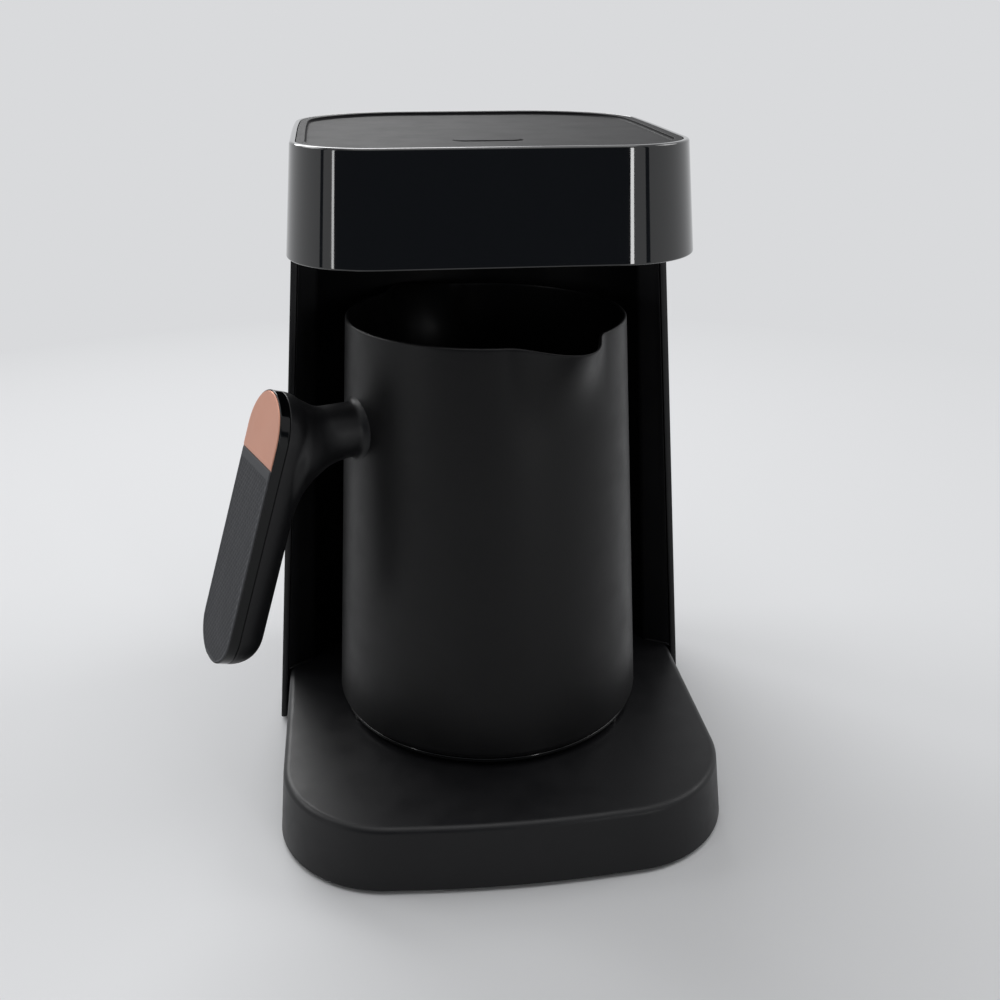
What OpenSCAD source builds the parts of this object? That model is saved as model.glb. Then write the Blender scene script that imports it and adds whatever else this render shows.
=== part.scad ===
// Electric coffee machine for small cups: a heated pot with a side handle stands in the
// niche of a tapered column, under a glossy head that carries the sensor and the start button.
// Millimetres, +Z up, front towards -Y. The origin is on the table under the pot's axis.

/* [Machine] */
// Height from the table to the top rim of the head
machine_h = 245; // [240:1:255]
// Height of the glossy head band
head_h = 36.6; // [34:0.2:44]
// Half width of the outer skin at the table
skin_foot_hw = 88.2; // [87:0.1:92]
// Half width of the outer skin under the head
skin_top_hw = 69; // [67:0.1:72]
// Depth of the outer skin's rear face at the table
skin_foot_rear = 106; // [104:0.5:112]
// Depth of the outer skin's rear face under the head
skin_top_rear = 100; // [98:0.5:104]
// Rear corner radius of the outer skin
skin_corner = 43; // [36:0.5:48]
// Wall of the outer skin
skin_t = 2.5; // [2:0.1:3]
// Front edge of the outer skin at the table
skin_foot_front = 20.3; // [16:0.1:24]
// Front edge of the outer skin under the head
skin_top_front = 12.9; // [9:0.1:16]

/* [Head] */
// Half width of the head at its top rim
head_top_hw = 65; // [63:0.1:67]
// Front face of the head at its lower edge
head_front = 51.2; // [49:0.1:55]
// How far the head's front face leans back towards the top
head_front_lean = 3.2; // [0.5:0.1:4]
// How far the head's rear face leans in towards the top
head_rear_lean = 1; // [0.5:0.1:2]
// Front corner radius of the head
head_front_corner = 31; // [26:0.5:36]
// Wall of the glossy band
band_t = 1.9; // [1.6:0.1:2.4]
// Width of the top panel's raised rim
panel_rim_w = 1.7; // [1.2:0.1:2.4]
// Depth of the top panel below its rim
panel_drop = 1.5; // [1:0.1:2.5]
// Thickness of the top panel
panel_t = 2.4; // [2:0.1:3]
// Height of the underside plate above the band's lower edge
underside_lift = 1.5; // [1:0.1:3]
// Thickness of the underside plate
underside_t = 2.2; // [1.8:0.1:3]

/* [Start button] */
// Length of the pill-shaped start button
button_l = 23.4; // [18:0.1:28]
// Width of the start button
button_w = 9; // [7:0.1:12]
// Place of the button in front of the pot's axis
button_front = 9.5; // [6:0.1:14]
// Travel of the start button
button_travel = 1.2; // [0.8:0.1:1.6]
// How far the button stands out of the top panel
button_proud = 0.3; // [0.2:0.1:0.8]
// Gap round the button
button_gap = 0.3; // [0.2:0.05:0.5]

/* [Base] */
// Height of the base's top face
base_h = 25.8; // [24:0.2:30]
// Front corner radius of the base
base_corner = 42; // [36:0.5:46]
// Distance of the base's front corners in front of the pot's axis, at the top
base_front = 87.6; // [84:0.2:92]
// Extra reach of the bowed front edge at its middle
base_bow = 6.9; // [4:0.1:8]
// How far the base's front leans out between its top face and the table
base_lean = 2.8; // [2:0.1:3.5]
// How much narrower each side of the base is at the front corners than at the column
base_waist = 1.7; // [0.5:0.1:3]
// Wall of the base
base_t = 2.5; // [2:0.1:3]
// Radius of the soft edge round the base's top face
base_edge = 2.2; // [1:0.1:3]
// Height of the gap that the rubber feet leave under the base
foot_gap = 1.5; // [1:0.1:2.5]
// Radius of a rubber foot
foot_r = 8; // [6:0.5:10]
// Thickness of the bottom cover
cover_t = 2.5; // [2:0.1:3]

/* [Column niche] */
// Half width of the niche's mouth at the base
niche_foot_hw = 72.4; // [70:0.1:74]
// Half width of the niche's mouth under the head
niche_top_hw = 59.5; // [58:0.1:61]
// Depth of the niche's rear wall at the base
niche_foot_rear = 76; // [74:0.5:78]
// Depth of the niche's rear wall under the head
niche_top_rear = 64; // [62:0.5:68]
// How far the jambs slope back from the skin to the niche's mouth
jamb_set = 6; // [4:0.1:8]
// Wall of the niche shell
niche_t = 2; // [1.6:0.1:2.4]
// Step between the skin's front edge and the jambs
jamb_step = 0.8; // [0.4:0.1:1.5]
// Height of the kerb on the base along the jambs
kerb_h = 1.1; // [0.6:0.1:2]

/* [Pot] */
// Outer radius of the pot at its rim
rim_r = 51.1; // [49:0.1:52]
// Outer radius of the pot at its foot
foot_outer_r = 60.5; // [59:0.1:61.5]
// Height of the pot's steel body
pot_h = 153.6; // [145:0.2:156]
// Wall of the pot
pot_t = 1.5; // [1.2:0.1:2]
// Gap between the pot's foot ring and the base
pot_gap = 1.5; // [1:0.1:2]
// Height of the visible part of the glossy foot ring
ring_h = 1.7; // [1.2:0.1:3]
// Height of the pot's floor above the lower edge of the body
pot_floor = 18; // [17:0.2:24]
// Reach of the pouring lips beyond the rim
lip_reach = 13; // [8:0.2:14]
// Half of the angle that a pouring lip spans
lip_half_angle = 23; // [18:0.5:28]
// Height below the rim at which the lips begin
lip_drop = 32; // [24:0.5:40]
// How far the rim dips at a lip's tip
lip_dip = 1; // [0:0.1:2]
// Angle from square to the handle by which both lips are turned, counter-clockwise
lip_turn = 2.5; // [-5:0.5:5]

/* [Handle] */
// Direction of the handle round the pot, from the right-hand side, counter-clockwise
handle_turn = 202; // [195:0.5:210]
// Distance of the grip's face from the pot's axis at the top of its straight sides
grip_reach = 86.2; // [85:0.1:91]
// Height of that point above the table
grip_z = 153.4; // [149:0.2:157]
// Lean of the grip, lower end outwards
grip_lean = 18.2; // [14:0.1:22]
// Length of the grip's straight sides
grip_l = 75.2; // [66:0.2:80]
// Half width of the grip at the top
grip_top_hw = 15.1; // [13:0.1:17]
// Half width of the grip at the bottom
grip_foot_hw = 15.4; // [13:0.1:17]
// Roundness of the grip's ends, as a share of the half width
grip_end = 0.86; // [0.7:0.01:1]
// Depth of the grip from its face to its back
grip_depth = 16.3; // [15:0.1:19]
// Roundness of the grip's back, from 2 for an ellipse upwards
back_round = 2.3; // [2:0.1:4]
// Depth of the glossy trim round the grip's face
trim_depth = 3.3; // [3:0.1:4.5]
// Width of the trim's rim round the inlays
trim_rim = 0.4; // [0.3:0.1:1.2]
// How far the inlays stand out of the trim's rim
inlay_proud = 0.4; // [0.2:0.1:0.8]
// Thickness of the inlays
inlay_t = 1.6; // [1.2:0.1:2]
// Length of the copper inlay below the top of the straight sides
copper_l = 12; // [6:0.5:20]
// Height of the arm's axis above the table
arm_z = 146.6; // [144:0.2:149]
// Radius of the arm
arm_r = 10.7; // [9.5:0.1:11.5]
// Radius of the flare where the arm meets the pot
arm_pot_flare = 3; // [2:0.2:6]
// Radius of the fillet under the arm, where it runs down into the grip
arm_grip_flare = 25; // [18:0.5:26]
// Radius of the fillet over the arm, where it rises into the grip
arm_top_flare = 14; // [8:0.5:18]

/* [Electrics] */
// Radius of the connector hub that stands up from the base
hub_r = 14; // [13:0.1:15]
// Height of the hub above the base
hub_h = 3.5; // [3:0.1:3.8]
// How far the contact pins stand out of the hub
pin_proud = 0.6; // [0.4:0.1:0.7]
// Radius of a contact pin
pin_r = 1.5; // [1.2:0.1:1.6]
// Travel of the contact pins
pin_travel = 0.5; // [0.3:0.1:0.5]
// Radius of the heater disc under the pot's floor
heater_r = 40; // [36:0.5:41]
// Thickness of the heater disc
heater_t = 4; // [3.5:0.1:5]
// Radius of the heating element's ring
element_ring_r = 29; // [26:0.5:32]
// Radius of the heating element's tube
element_r = 3.2; // [3:0.1:3.4]
// Bore of the mains lead's gland
gland_bore_r = 3.4; // [3:0.1:3.8]
// Place of the gland to the side of the middle
gland_x = 40; // [35:1:42]
// Height of the gland's axis
gland_z = 13; // [12:0.5:14]

/* [Hidden] */

// Clearance between fixed covers and the walls they sit in
fit = 0.3;
// Clearance between pieces that are clamped or laid face to face
seat = 0.05;
// Steps of a rounded corner in a lofted outline
corner_steps = 8;
// Sides of the pot round its axis
pot_sides = 64;
// Depth by which a cutter runs past a face
past = 1;
$fn = 48;

// Colours of the real pieces
satin_black = [0.11, 0.11, 0.12];
gloss_black = [0.03, 0.03, 0.035];
matt_black = [0.15, 0.15, 0.155];
copper = [0.80, 0.56, 0.49];
grey_rubber = [0.30, 0.31, 0.32];
steel = [0.72, 0.73, 0.75];
brass = [0.80, 0.65, 0.32];
board_green = [0.12, 0.33, 0.20];
plastic_grey = [0.45, 0.46, 0.48];

head_z = machine_h - head_h;
skin_foot_z = foot_gap;
skin_top_z = head_z - fit;

// ---- plane geometry ----

function mix(a, b, t) = a + (b - a) * t;
function unit(v) = v / norm(v);

// Arc of n steps about c, from angle a0 to a1
function arc(c, r, a0, a1, n) =
  [for (i = [0:n]) let (a = mix(a0, a1, i / n)) c + r * [cos(a), sin(a)]];

// Rounding of radius r at point p between its neighbours a and b
function rounding(p, a, b, r, n) =
  let (u = unit(a - p), v = unit(b - p), half = acos(u * v) / 2)
  let (c = p + unit(u + v) * r / sin(half))
  let (s = p + u * r / tan(half) - c, e = p + v * r / tan(half) - c)
  let (a0 = atan2(s[1], s[0]), turn = (atan2(e[1], e[0]) - a0 + 540) % 360 - 180)
  arc(c, r, a0, a0 + turn, n);

// Outline with rounded corners, each corner given as [x, y, radius]
function rounded(corners, n = corner_steps) =
  let (last = len(corners) - 1)
  [for (i = [0:last])
    let (p = corners[i], a = corners[i == 0 ? last : i - 1], b = corners[i == last ? 0 : i + 1])
    each rounding([p[0], p[1]], [a[0], a[1]], [b[0], b[1]], p[2], n)];

// Two triangles in place of the quadrangle a, b, c, d
function two(a, b, c, d) = [[a, b, c], [a, c, d]];

// Solid through outlines of equal length, one at each of the rising heights
module loft(outlines, heights) {
  n = len(outlines[0]);
  top = n * (len(heights) - 1);
  polyhedron(
    points = [for (k = [0:len(heights) - 1]) for (p = outlines[k]) [p[0], p[1], heights[k]]],
    faces = concat(
      [[for (i = [0:n - 1]) i]],
      [for (k = [0:n:top - 1]) for (i = [0:n - 1]) let (j = (i + 1) % n)
        each two(k + i, k + n + i, k + n + j, k + j)],
      [[for (i = [n - 1:-1:0]) top + i]]));
}

// Wall between an outer and an inner path of equal length, given at two rising heights
module wall(outer, inner, heights) {
  m = len(outer[0]);
  polyhedron(
    points = [for (k = [0, 1]) for (p = concat(outer[k], inner[k])) [p[0], p[1], heights[k]]],
    faces = concat(
      [for (i = [0:m - 2]) each concat(
        two(i, i + 1, m + i + 1, m + i),
        two(3 * m + i, 3 * m + i + 1, 2 * m + i + 1, 2 * m + i),
        two(i, 2 * m + i, 2 * m + i + 1, i + 1),
        two(m + i + 1, 3 * m + i + 1, 3 * m + i, m + i))],
      two(m - 1, 3 * m - 1, 4 * m - 1, 2 * m - 1), two(m, 3 * m, 2 * m, 0)));
}

// Pill-shaped plate, its length along X
module pill(l, w, h) {
  linear_extrude(h) union() {
    square([l - w, w], center = true);
    for (s = [-1, 1]) translate([s * (l - w) / 2, 0]) circle(w / 2);
  }
}

// Pan-head screw, its head's underside at z = 0 and its shank downwards
module screw(head_r, head_t, shank_r, shank_l) {
  cylinder(r = head_r, h = head_t);
  translate([0, 0, -shank_l]) cylinder(r = shank_r, h = shank_l + seat);
}

// Helical spring on the Z axis from z = 0 to h, with sides round the wire
module coil(r, wire_r, h, turns, steps = 10, sides = 6) {
  rings = turns * steps;
  rise = h - 2 * wire_r;
  polyhedron(
    points = [for (k = [0:rings]) let (a = 360 * k / steps) for (j = [0:sides - 1])
      let (b = 360 * j / sides, q = r + wire_r * cos(b))
      [q * cos(a), q * sin(a), wire_r + rise * k / rings + wire_r * sin(b)]],
    faces = concat(
      [[for (j = [0:sides - 1]) j]],
      [for (k = [0:rings - 1]) for (j = [0:sides - 1])
        let (a = k * sides + j, b = k * sides + (j + 1) % sides)
        each two(a, a + sides, b + sides, b)],
      [[for (j = [sides - 1:-1:0]) rings * sides + j]]));
}

function reverse(list) = [for (i = [len(list) - 1:-1:0]) list[i]];

// ---- outlines of the covers at height z, taken in by i ----

function skin_hw(z) = mix(skin_foot_hw, skin_top_hw, z / head_z);
function skin_rear(z) = mix(skin_foot_rear, skin_top_rear, z / head_z);
function skin_front(z) = mix(skin_foot_front, skin_top_front, z / head_z);

// U-shaped path of the outer skin, from its right front edge round the rear to the left
function skin_path(z, i) =
  let (hw = skin_hw(z) - i, rear = skin_rear(z) - i, r = skin_corner - i, front = skin_front(z))
  concat([[hw, front]], arc([hw - r, rear - r], r, 0, 90, corner_steps),
    arc([r - hw, rear - r], r, 90, 180, corner_steps), [[-hw, front]]);

// Niche: an arc through both edges of its mouth and the middle of its rear wall
niche_steps = 20;
function niche_share(z) = (z - base_h) / (head_z - base_h);
function niche_hw(z) = mix(niche_foot_hw, niche_top_hw, niche_share(z));
function niche_rear(z) = mix(niche_foot_rear, niche_top_rear, niche_share(z));
function jamb_front(z) = skin_front(z) + jamb_step;
function jamb_side(z) = skin_hw(z) - skin_t - 2 * seat;
function niche_sag(z) = niche_rear(z) - jamb_front(z) - jamb_set;
function niche_r(z) = (pow(niche_hw(z), 2) + pow(niche_sag(z), 2)) / (2 * niche_sag(z));
function niche_centre(z) = [0, niche_rear(z) - niche_r(z)];
function niche_angle(z) = asin((jamb_front(z) + jamb_set - niche_centre(z)[1]) / niche_r(z));

// Path of a jamb, the niche and the other jamb, set back by o behind the visible face
function niche_path(z, o) =
  let (side = jamb_side(z), front = jamb_front(z) + o, a = niche_angle(z))
  concat([[side, front]], arc(niche_centre(z), niche_r(z) + o, a, 180 - a, niche_steps),
    [[-side, front]]);

// Base: straight sides that narrow towards the front, round corners and a bowed front edge
bow_r = 400;
function base_side(z) = skin_hw(z) - skin_t - fit;
function base_plan(z, i) =
  let (w = base_side(z) - i, wf = w - base_waist, rear = skin_rear(z) - skin_t - fit - i)
  let (front = i - base_front - base_lean * (1 - z / base_h), rr = skin_corner - skin_t - i)
  rounded([[-w, rear, rr], [-wf, front, base_corner - i], [0, front - base_bow, bow_r],
    [wf, front, base_corner - i], [w, rear, rr]]);

// Head: rounded rectangle that leans in towards the top
function head_plan(z, i) =
  let (t = (z - head_z) / head_h, hw = mix(skin_top_hw, head_top_hw, t) - i)
  let (front = i - head_front + t * head_front_lean)
  let (rear = skin_top_rear - t * head_rear_lean - i)
  let (rf = head_front_corner - t * head_front_lean - i)
  let (rr = skin_corner - t * head_rear_lean - i)
  rounded([[-hw, rear, rr], [-hw, front, rf], [hw, front, rf], [hw, rear, rr]]);

// ---- screws and bosses ----

screw_r = 1.45;
screw_hole_r = 1.6;
boss_bore_r = 1.5;
boss_r = 4;
head_r = 2.7;
head_t = 1.8;
cover_bore_l = 14;
cover_screw_l = 10;
column_screw_l = 11;
head_screw_l = 14;
board_screw_l = 5;

cover_top = foot_gap + cover_t;
base_ceiling = base_h - base_t;
// Right-hand places of the cover's screws and of the feet; the left-hand ones mirror them
cover_places = [[30, -80], [74, -10], [56, 84]];
foot_places = [[58, -58], [58, 72]];
cover_spots = [for (s = [-1, 1]) for (p = cover_places) [s * p[0], p[1]]];
foot_spots = [for (s = [-1, 1]) for (p = foot_places) [s * p[0], p[1]]];

// Bosses on the hidden side of the niche's wall, on the screws that hold base and head
foot_boss_angles = [40, 66, 114, 140];
top_boss_angles = [52, 76, 104, 128];
boss_off = niche_t + boss_r + 1;
foot_boss_h = 12;
top_boss_h = 16;
rib_t = 2;
// How deep the bosses' ribs reach into the niche wall, which leans away from them
rib_bite = 0.5;
foot_boss_spots = [for (a = foot_boss_angles)
  niche_centre(base_h) + (niche_r(base_h) + boss_off) * [cos(a), sin(a)]];
top_boss_spots = [for (a = top_boss_angles)
  niche_centre(head_z) + (niche_r(head_z) + boss_off) * [cos(a), sin(a)]];

plate_z = head_z + underside_lift;
plate_top = plate_z + underside_t;
niche_top_z = plate_z - seat;

// ---- power board's place behind the niche ----

// How far the board's face stands in front of the skin's rear face under the head
board_set = 6;
board_face_y = skin_top_rear - board_set;
board_t = 1.6;
board_size = [64, 90];
board_z = 60;
relay_size = [19, 16, 15];
relay_at = [-16, board_z + 26];
supply_winding = [20, 30, 16];
supply_core = [30, 24, 10];
supply_at = [0, board_z + 55];
board_boss_r = 3.5;
board_hole_set = 4;
board_spots = [for (x = [-1, 1]) for (z = [0, 1]) [x * (board_size[0] / 2 - board_hole_set),
  board_z + board_hole_set + z * (board_size[1] - 2 * board_hole_set)]];
header_d = 8;
top_header = [10, 10];
foot_header = [12, 8];
header_z = board_z + board_size[1] - 8;
foot_header_z = board_z + 6;

// ---- base ----

loom_x = 20;
loom_y = board_face_y - header_d / 2;
loom_window = [50, 12];
loom_r = 2;
gland_body_r = 7;
gland_flange_r = 9;
gland_flange_t = 2.5;
gland_l = 12;
gland_bevel = 1;
gland_face_y = skin_rear(gland_z - gland_flange_r) + seat;

// Kerb along one jamb, in front of its foot
module kerb() {
  z = base_h;
  kerb_w = 1.2;
  outer = [jamb_side(z) - fit, jamb_front(z)];
  inner = [niche_hw(z), jamb_front(z) + jamb_set];
  translate([0, 0, z - seat]) linear_extrude(kerb_h + seat)
    polygon([outer, inner, inner - [0, kerb_w], outer - [0, kerb_w]]);
}

module base_shell() {
  edge = base_edge;
  edge_angles = [0, 22.5, 45, 67.5, 90];
  color(satin_black) difference() {
    union() {
      loft(
        concat([base_plan(foot_gap, 0)],
          [for (a = edge_angles) base_plan(base_h - edge + edge * sin(a), edge * (1 - cos(a)))]),
        concat([foot_gap], [for (a = edge_angles) base_h - edge + edge * sin(a)]));
      kerb();
      mirror([1, 0, 0]) kerb();
    }
    difference() {
      loft([for (z = [foot_gap - past, base_ceiling]) base_plan(z, base_t)],
        [foot_gap - past, base_ceiling]);
      for (p = cover_spots) translate([p[0], p[1], cover_top + seat])
        cylinder(r = boss_r, h = base_h);
    }
    for (p = cover_spots) translate([p[0], p[1], cover_top])
      cylinder(r = boss_bore_r, h = cover_bore_l);
    for (p = foot_boss_spots) translate([p[0], p[1], base_ceiling - past])
      cylinder(r = screw_hole_r, h = base_t + 2 * past);
    translate([0, 0, base_ceiling - past]) cylinder(r = hub_r + fit, h = base_t + 2 * past);
    translate([-loom_window[0] / 2, loom_y - loom_window[1] / 2, base_ceiling - past])
      cube([loom_window[0], loom_window[1], base_t + 2 * past]);
    translate([gland_x, gland_face_y - gland_l, gland_z]) rotate([-90, 0, 0])
      cylinder(r = gland_body_r + seat, h = 2 * gland_l);
  }
}

foot_recess = 0.8;
foot_bevel = 0.6;
cover_head_z = foot_gap + head_t + 0.1;

module base_cover() {
  vents = 8;
  vent_pitch = 9;
  vent_size = [2.5, 32];
  vent_y = 44;
  color(satin_black) difference() {
    translate([0, 0, foot_gap]) linear_extrude(cover_t) difference() {
      polygon(base_plan(foot_gap, base_t + fit));
      for (k = [0:vents - 1]) translate([(k - (vents - 1) / 2) * vent_pitch, vent_y])
        square(vent_size, center = true);
      for (p = cover_spots) translate(p) circle(screw_hole_r);
    }
    for (p = cover_spots) translate([p[0], p[1], foot_gap - past])
      cylinder(r = head_r + fit, h = cover_head_z - foot_gap + past);
    for (p = foot_spots) translate([p[0], p[1], foot_gap - past])
      cylinder(r = foot_r + 2 * seat, h = foot_recess + past);
  }
}

module rubber_feet() {
  color([0.08, 0.08, 0.08]) for (p = foot_spots) translate([p[0], p[1], 0]) rotate_extrude()
    polygon([[0, 0], [foot_r - foot_bevel, 0], [foot_r, foot_bevel],
      [foot_r, foot_gap + foot_recess], [0, foot_gap + foot_recess]]);
}

module cover_screws() {
  color(steel) for (p = cover_spots) translate([p[0], p[1], cover_head_z])
    mirror([0, 0, 1]) screw(head_r, head_t, screw_r, cover_screw_l);
}

// ---- connector in the base ----

hub_top = base_h + hub_h;
hub_foot = 12;
hub_flange_r = 18;
hub_flange_t = 2;
pin_rings = [0, 6.5, 11];
pin_angles = [0, 90, 210];
pin_run = 0.06;
pin_collar_r = 2.1;
pin_collar_t = 1.5;
pin_tail_r = 0.9;
pin_tip = 0.5;
chamber_r = pin_collar_r + 0.2;
chamber_top = base_ceiling - 0.3;
collar_top = chamber_top - 0.1;
plug_spigot = 2;
plug_t = 2.5;
hub_edge = 0.8;
hub_waist = 0.5;
spring_z = hub_foot + plug_spigot - seat;
pin_tail_z = spring_z + 2 * pin_travel;
pin_spots = [for (k = [0:2]) pin_rings[k] * [cos(pin_angles[k]), sin(pin_angles[k])]];

module connector_hub() {
  z1 = base_ceiling - seat;
  color(matt_black) difference() {
    rotate_extrude() polygon([[0, hub_foot], [hub_r - hub_waist, hub_foot],
      [hub_r - hub_waist, z1 - hub_flange_t], [hub_flange_r, z1 - hub_flange_t], [hub_flange_r, z1],
      [hub_r, z1], [hub_r, hub_top - hub_edge], [hub_r - hub_edge, hub_top], [0, hub_top]]);
    for (p = pin_spots) translate([p[0], p[1], 0]) {
      translate([0, 0, hub_foot - past]) cylinder(r = chamber_r, h = chamber_top - hub_foot + past);
      translate([0, 0, chamber_top - past]) cylinder(r = pin_r + pin_run, h = 2 * hub_h + base_t + past);
    }
  }
}

module hub_plug() {
  spigot_gap = 0.1;
  color(plastic_grey) {
    translate([0, 0, hub_foot - seat - plug_t]) cylinder(r = hub_r - hub_waist, h = plug_t);
    for (p = pin_spots) translate([p[0], p[1], hub_foot - seat - past])
      cylinder(r = chamber_r - spigot_gap, h = plug_spigot + past);
  }
}

module contact_pins() {
  tip = hub_top + pin_proud;
  collar_z = collar_top - pin_collar_t;
  color(brass) for (p = pin_spots) translate([p[0], p[1], 0]) rotate_extrude()
    polygon([[0, pin_tail_z], [pin_tail_r, pin_tail_z], [pin_tail_r, collar_z],
      [pin_collar_r, collar_z], [pin_collar_r, collar_top], [pin_r, collar_top],
      [pin_r, tip - pin_tip], [pin_r - pin_tip, tip], [0, tip]]);
}

module contact_springs() {
  wire_r = 0.32;
  turns = 5;
  color(steel) for (p = pin_spots) translate([p[0], p[1], spring_z + seat])
    coil((pin_tail_r + chamber_r) / 2, wire_r, collar_top - pin_collar_t - spring_z - 2 * seat,
      turns, 8, 4);
}

// ---- column ----

// Rib and boss on the niche wall, from z0 to z1, at point p away from centre c
module wall_boss(p, c, z0, z1) {
  reach = norm(p - c);
  a = atan2(p[1] - c[1], p[0] - c[0]);
  translate([p[0], p[1], z0]) cylinder(r = boss_r, h = z1 - z0);
  inner = reach - boss_off + niche_t - rib_bite;
  translate([c[0], c[1], z0]) rotate([0, 0, a]) translate([inner, -rib_t / 2, 0])
    cube([reach - inner - (boss_r + boss_bore_r) / 2, rib_t, z1 - z0]);
}

module niche_shell() {
  z0 = base_h + seat;
  color(satin_black) difference() {
    union() {
      wall([for (z = [z0, niche_top_z]) niche_path(z, niche_t)],
        [for (z = [z0, niche_top_z]) niche_path(z, 0)], [z0, niche_top_z]);
      for (p = foot_boss_spots) wall_boss(p, niche_centre(base_h), z0, z0 + foot_boss_h);
      for (p = top_boss_spots)
        wall_boss(p, niche_centre(head_z), niche_top_z - top_boss_h, niche_top_z);
    }
    for (p = foot_boss_spots) translate([p[0], p[1], z0 - past])
      cylinder(r = boss_bore_r, h = column_screw_l);
    for (p = top_boss_spots) translate([p[0], p[1], niche_top_z - head_screw_l])
      cylinder(r = boss_bore_r, h = head_screw_l + past);
  }
}

module outer_skin() {
  color(satin_black) difference() {
    union() {
      wall([for (z = [skin_foot_z, skin_top_z]) skin_path(z, 0)],
        [for (z = [skin_foot_z, skin_top_z]) skin_path(z, skin_t)], [skin_foot_z, skin_top_z]);
      for (p = board_spots) translate([p[0], board_face_y + board_t + seat, p[1]])
        rotate([-90, 0, 0])
          cylinder(r = board_boss_r, h = skin_rear(p[1]) - skin_t / 2 - board_face_y - board_t - seat);
    }
    for (p = board_spots) translate([p[0], board_face_y, p[1]]) rotate([-90, 0, 0])
      cylinder(r = boss_bore_r, h = board_t + board_screw_l);
    translate([gland_x, gland_face_y - gland_l, gland_z]) rotate([-90, 0, 0])
      cylinder(r = gland_body_r + seat, h = 2 * gland_l);
  }
}

module column_screws() {
  color(steel) for (p = foot_boss_spots) translate([p[0], p[1], base_ceiling - seat])
    mirror([0, 0, 1]) screw(head_r, head_t, screw_r, column_screw_l);
}

// Block in front of the power board, centred at [x, z]; its size is width, height and depth
module on_board(at, size) {
  translate([at[0] - size[0] / 2, board_face_y - seat - size[2], at[1] - size[1] / 2])
    cube([size[0], size[2], size[1]]);
}

module power_board() {
  color(board_green) difference() {
    translate([-board_size[0] / 2, board_face_y, board_z])
      cube([board_size[0], board_t, board_size[1]]);
    for (p = board_spots) translate([p[0], board_face_y - past, p[1]]) rotate([-90, 0, 0])
      cylinder(r = screw_hole_r, h = board_t + 2 * past);
  }
  color(plastic_grey) translate([0, seat, 0]) {
    on_board([loom_x, header_z], concat(top_header, header_d));
    on_board([0, foot_header_z], concat(foot_header, header_d));
  }
}

module power_relay() {
  color([0.10, 0.22, 0.42]) on_board(relay_at, relay_size);
}

module power_supply() {
  color([0.65, 0.55, 0.22]) on_board(supply_at, supply_core);
  color([0.2, 0.2, 0.22]) on_board(supply_at, supply_winding);
}

terminal_size = [24, 12, 11];
terminal_y = 82;
pole_pitch = 8;
pole_r = 2;
pole_floor = 5;

module terminal_block() {
  color([0.85, 0.85, 0.82]) translate([gland_x - pole_pitch / 2, terminal_y, cover_top + seat])
    difference() {
      translate([-terminal_size[0] / 2, -terminal_size[1] / 2, 0]) cube(terminal_size);
      for (k = [-1:1]) translate([k * pole_pitch, 0, pole_floor])
        cylinder(r = pole_r, h = terminal_size[2]);
    }
}

module cord_gland() {
  color(matt_black) translate([gland_x, gland_face_y, gland_z]) rotate([-90, 0, 0]) rotate_extrude()
    polygon([[gland_bore_r, -gland_l], [gland_body_r - gland_bevel, -gland_l],
      [gland_body_r, gland_bevel - gland_l], [gland_body_r, 0], [gland_flange_r, 0],
      [gland_flange_r, gland_flange_t - gland_bevel], [gland_flange_r - gland_bevel, gland_flange_t],
      [gland_bore_r, gland_flange_t]]);
}

// Wiring loom with one bend: up from z0 to z1 at depth y1, then forwards to y0 along X = x
module loom(x, y0, y1, z0, z1) {
  bend = 8;
  translate([x, y1, z0]) cylinder(r = loom_r, h = z1 - bend - z0);
  translate([x, y1 - bend, z1 - bend]) rotate([90, 0, 90]) rotate_extrude(angle = 90)
    translate([bend, 0]) circle(loom_r);
  translate([x, y0, z1]) rotate([-90, 0, 0]) cylinder(r = loom_r, h = y1 - bend - y0);
}

module hub_loom() {
  color([0.75, 0.75, 0.72]) mirror([0, 0, 1])
    loom(0, hub_r - hub_waist + seat, loom_y, seat + foot_header[1] / 2 - foot_header_z,
      plug_t / 2 + seat - hub_foot);
}

// ---- head ----

ledge_w = 1.5;
ledge_h = 2;
panel_gap = 0.2;
panel_top = machine_h - 0.1;
panel_floor = machine_h - panel_drop;
panel_foot = panel_floor - panel_t;
ledge_top = panel_foot - seat;

// Cutter that follows the band's inside, taken in by i, from z0 to z1
module band_cut(i, z0, z1) {
  loft([head_plan(z0, i), head_plan(z1, i)], [z0, z1]);
}

module head_band() {
  round = 1.2;
  angles = [0, 30, 60, 90];
  foot = 0.6;
  color(gloss_black) difference() {
    loft(
      concat([head_plan(head_z, foot), head_plan(head_z + foot, 0)],
        [for (a = angles) head_plan(machine_h - round + round * sin(a), round * (1 - cos(a)))]),
      concat([head_z, head_z + foot], [for (a = angles) machine_h - round + round * sin(a)]));
    band_cut(band_t, head_z - past, ledge_top - ledge_h);
    band_cut(band_t + ledge_w, head_z, machine_h);
    band_cut(band_t, ledge_top, machine_h + past);
  }
}

module top_panel() {
  color(satin_black) difference() {
    band_cut(band_t + panel_gap, panel_foot, panel_top);
    band_cut(band_t + panel_gap + panel_rim_w, panel_floor, machine_h + past);
    translate([0, -button_front, panel_foot - past])
      pill(button_l + 2 * button_gap, button_w + 2 * button_gap, panel_t + 2 * past);
  }
}

window_r = 8;
window_flange_r = 10;
window_flange_t = 1.2;
post_r = 3.5;
post_h = 20;
post_top = head_z + post_h;
post_spread = [33, 26];
control_mid_y = 8;
post_spots = [for (x = [-1, 1]) for (y = [-1, 1])
  [x * post_spread[0], control_mid_y + y * post_spread[1]]];

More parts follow.
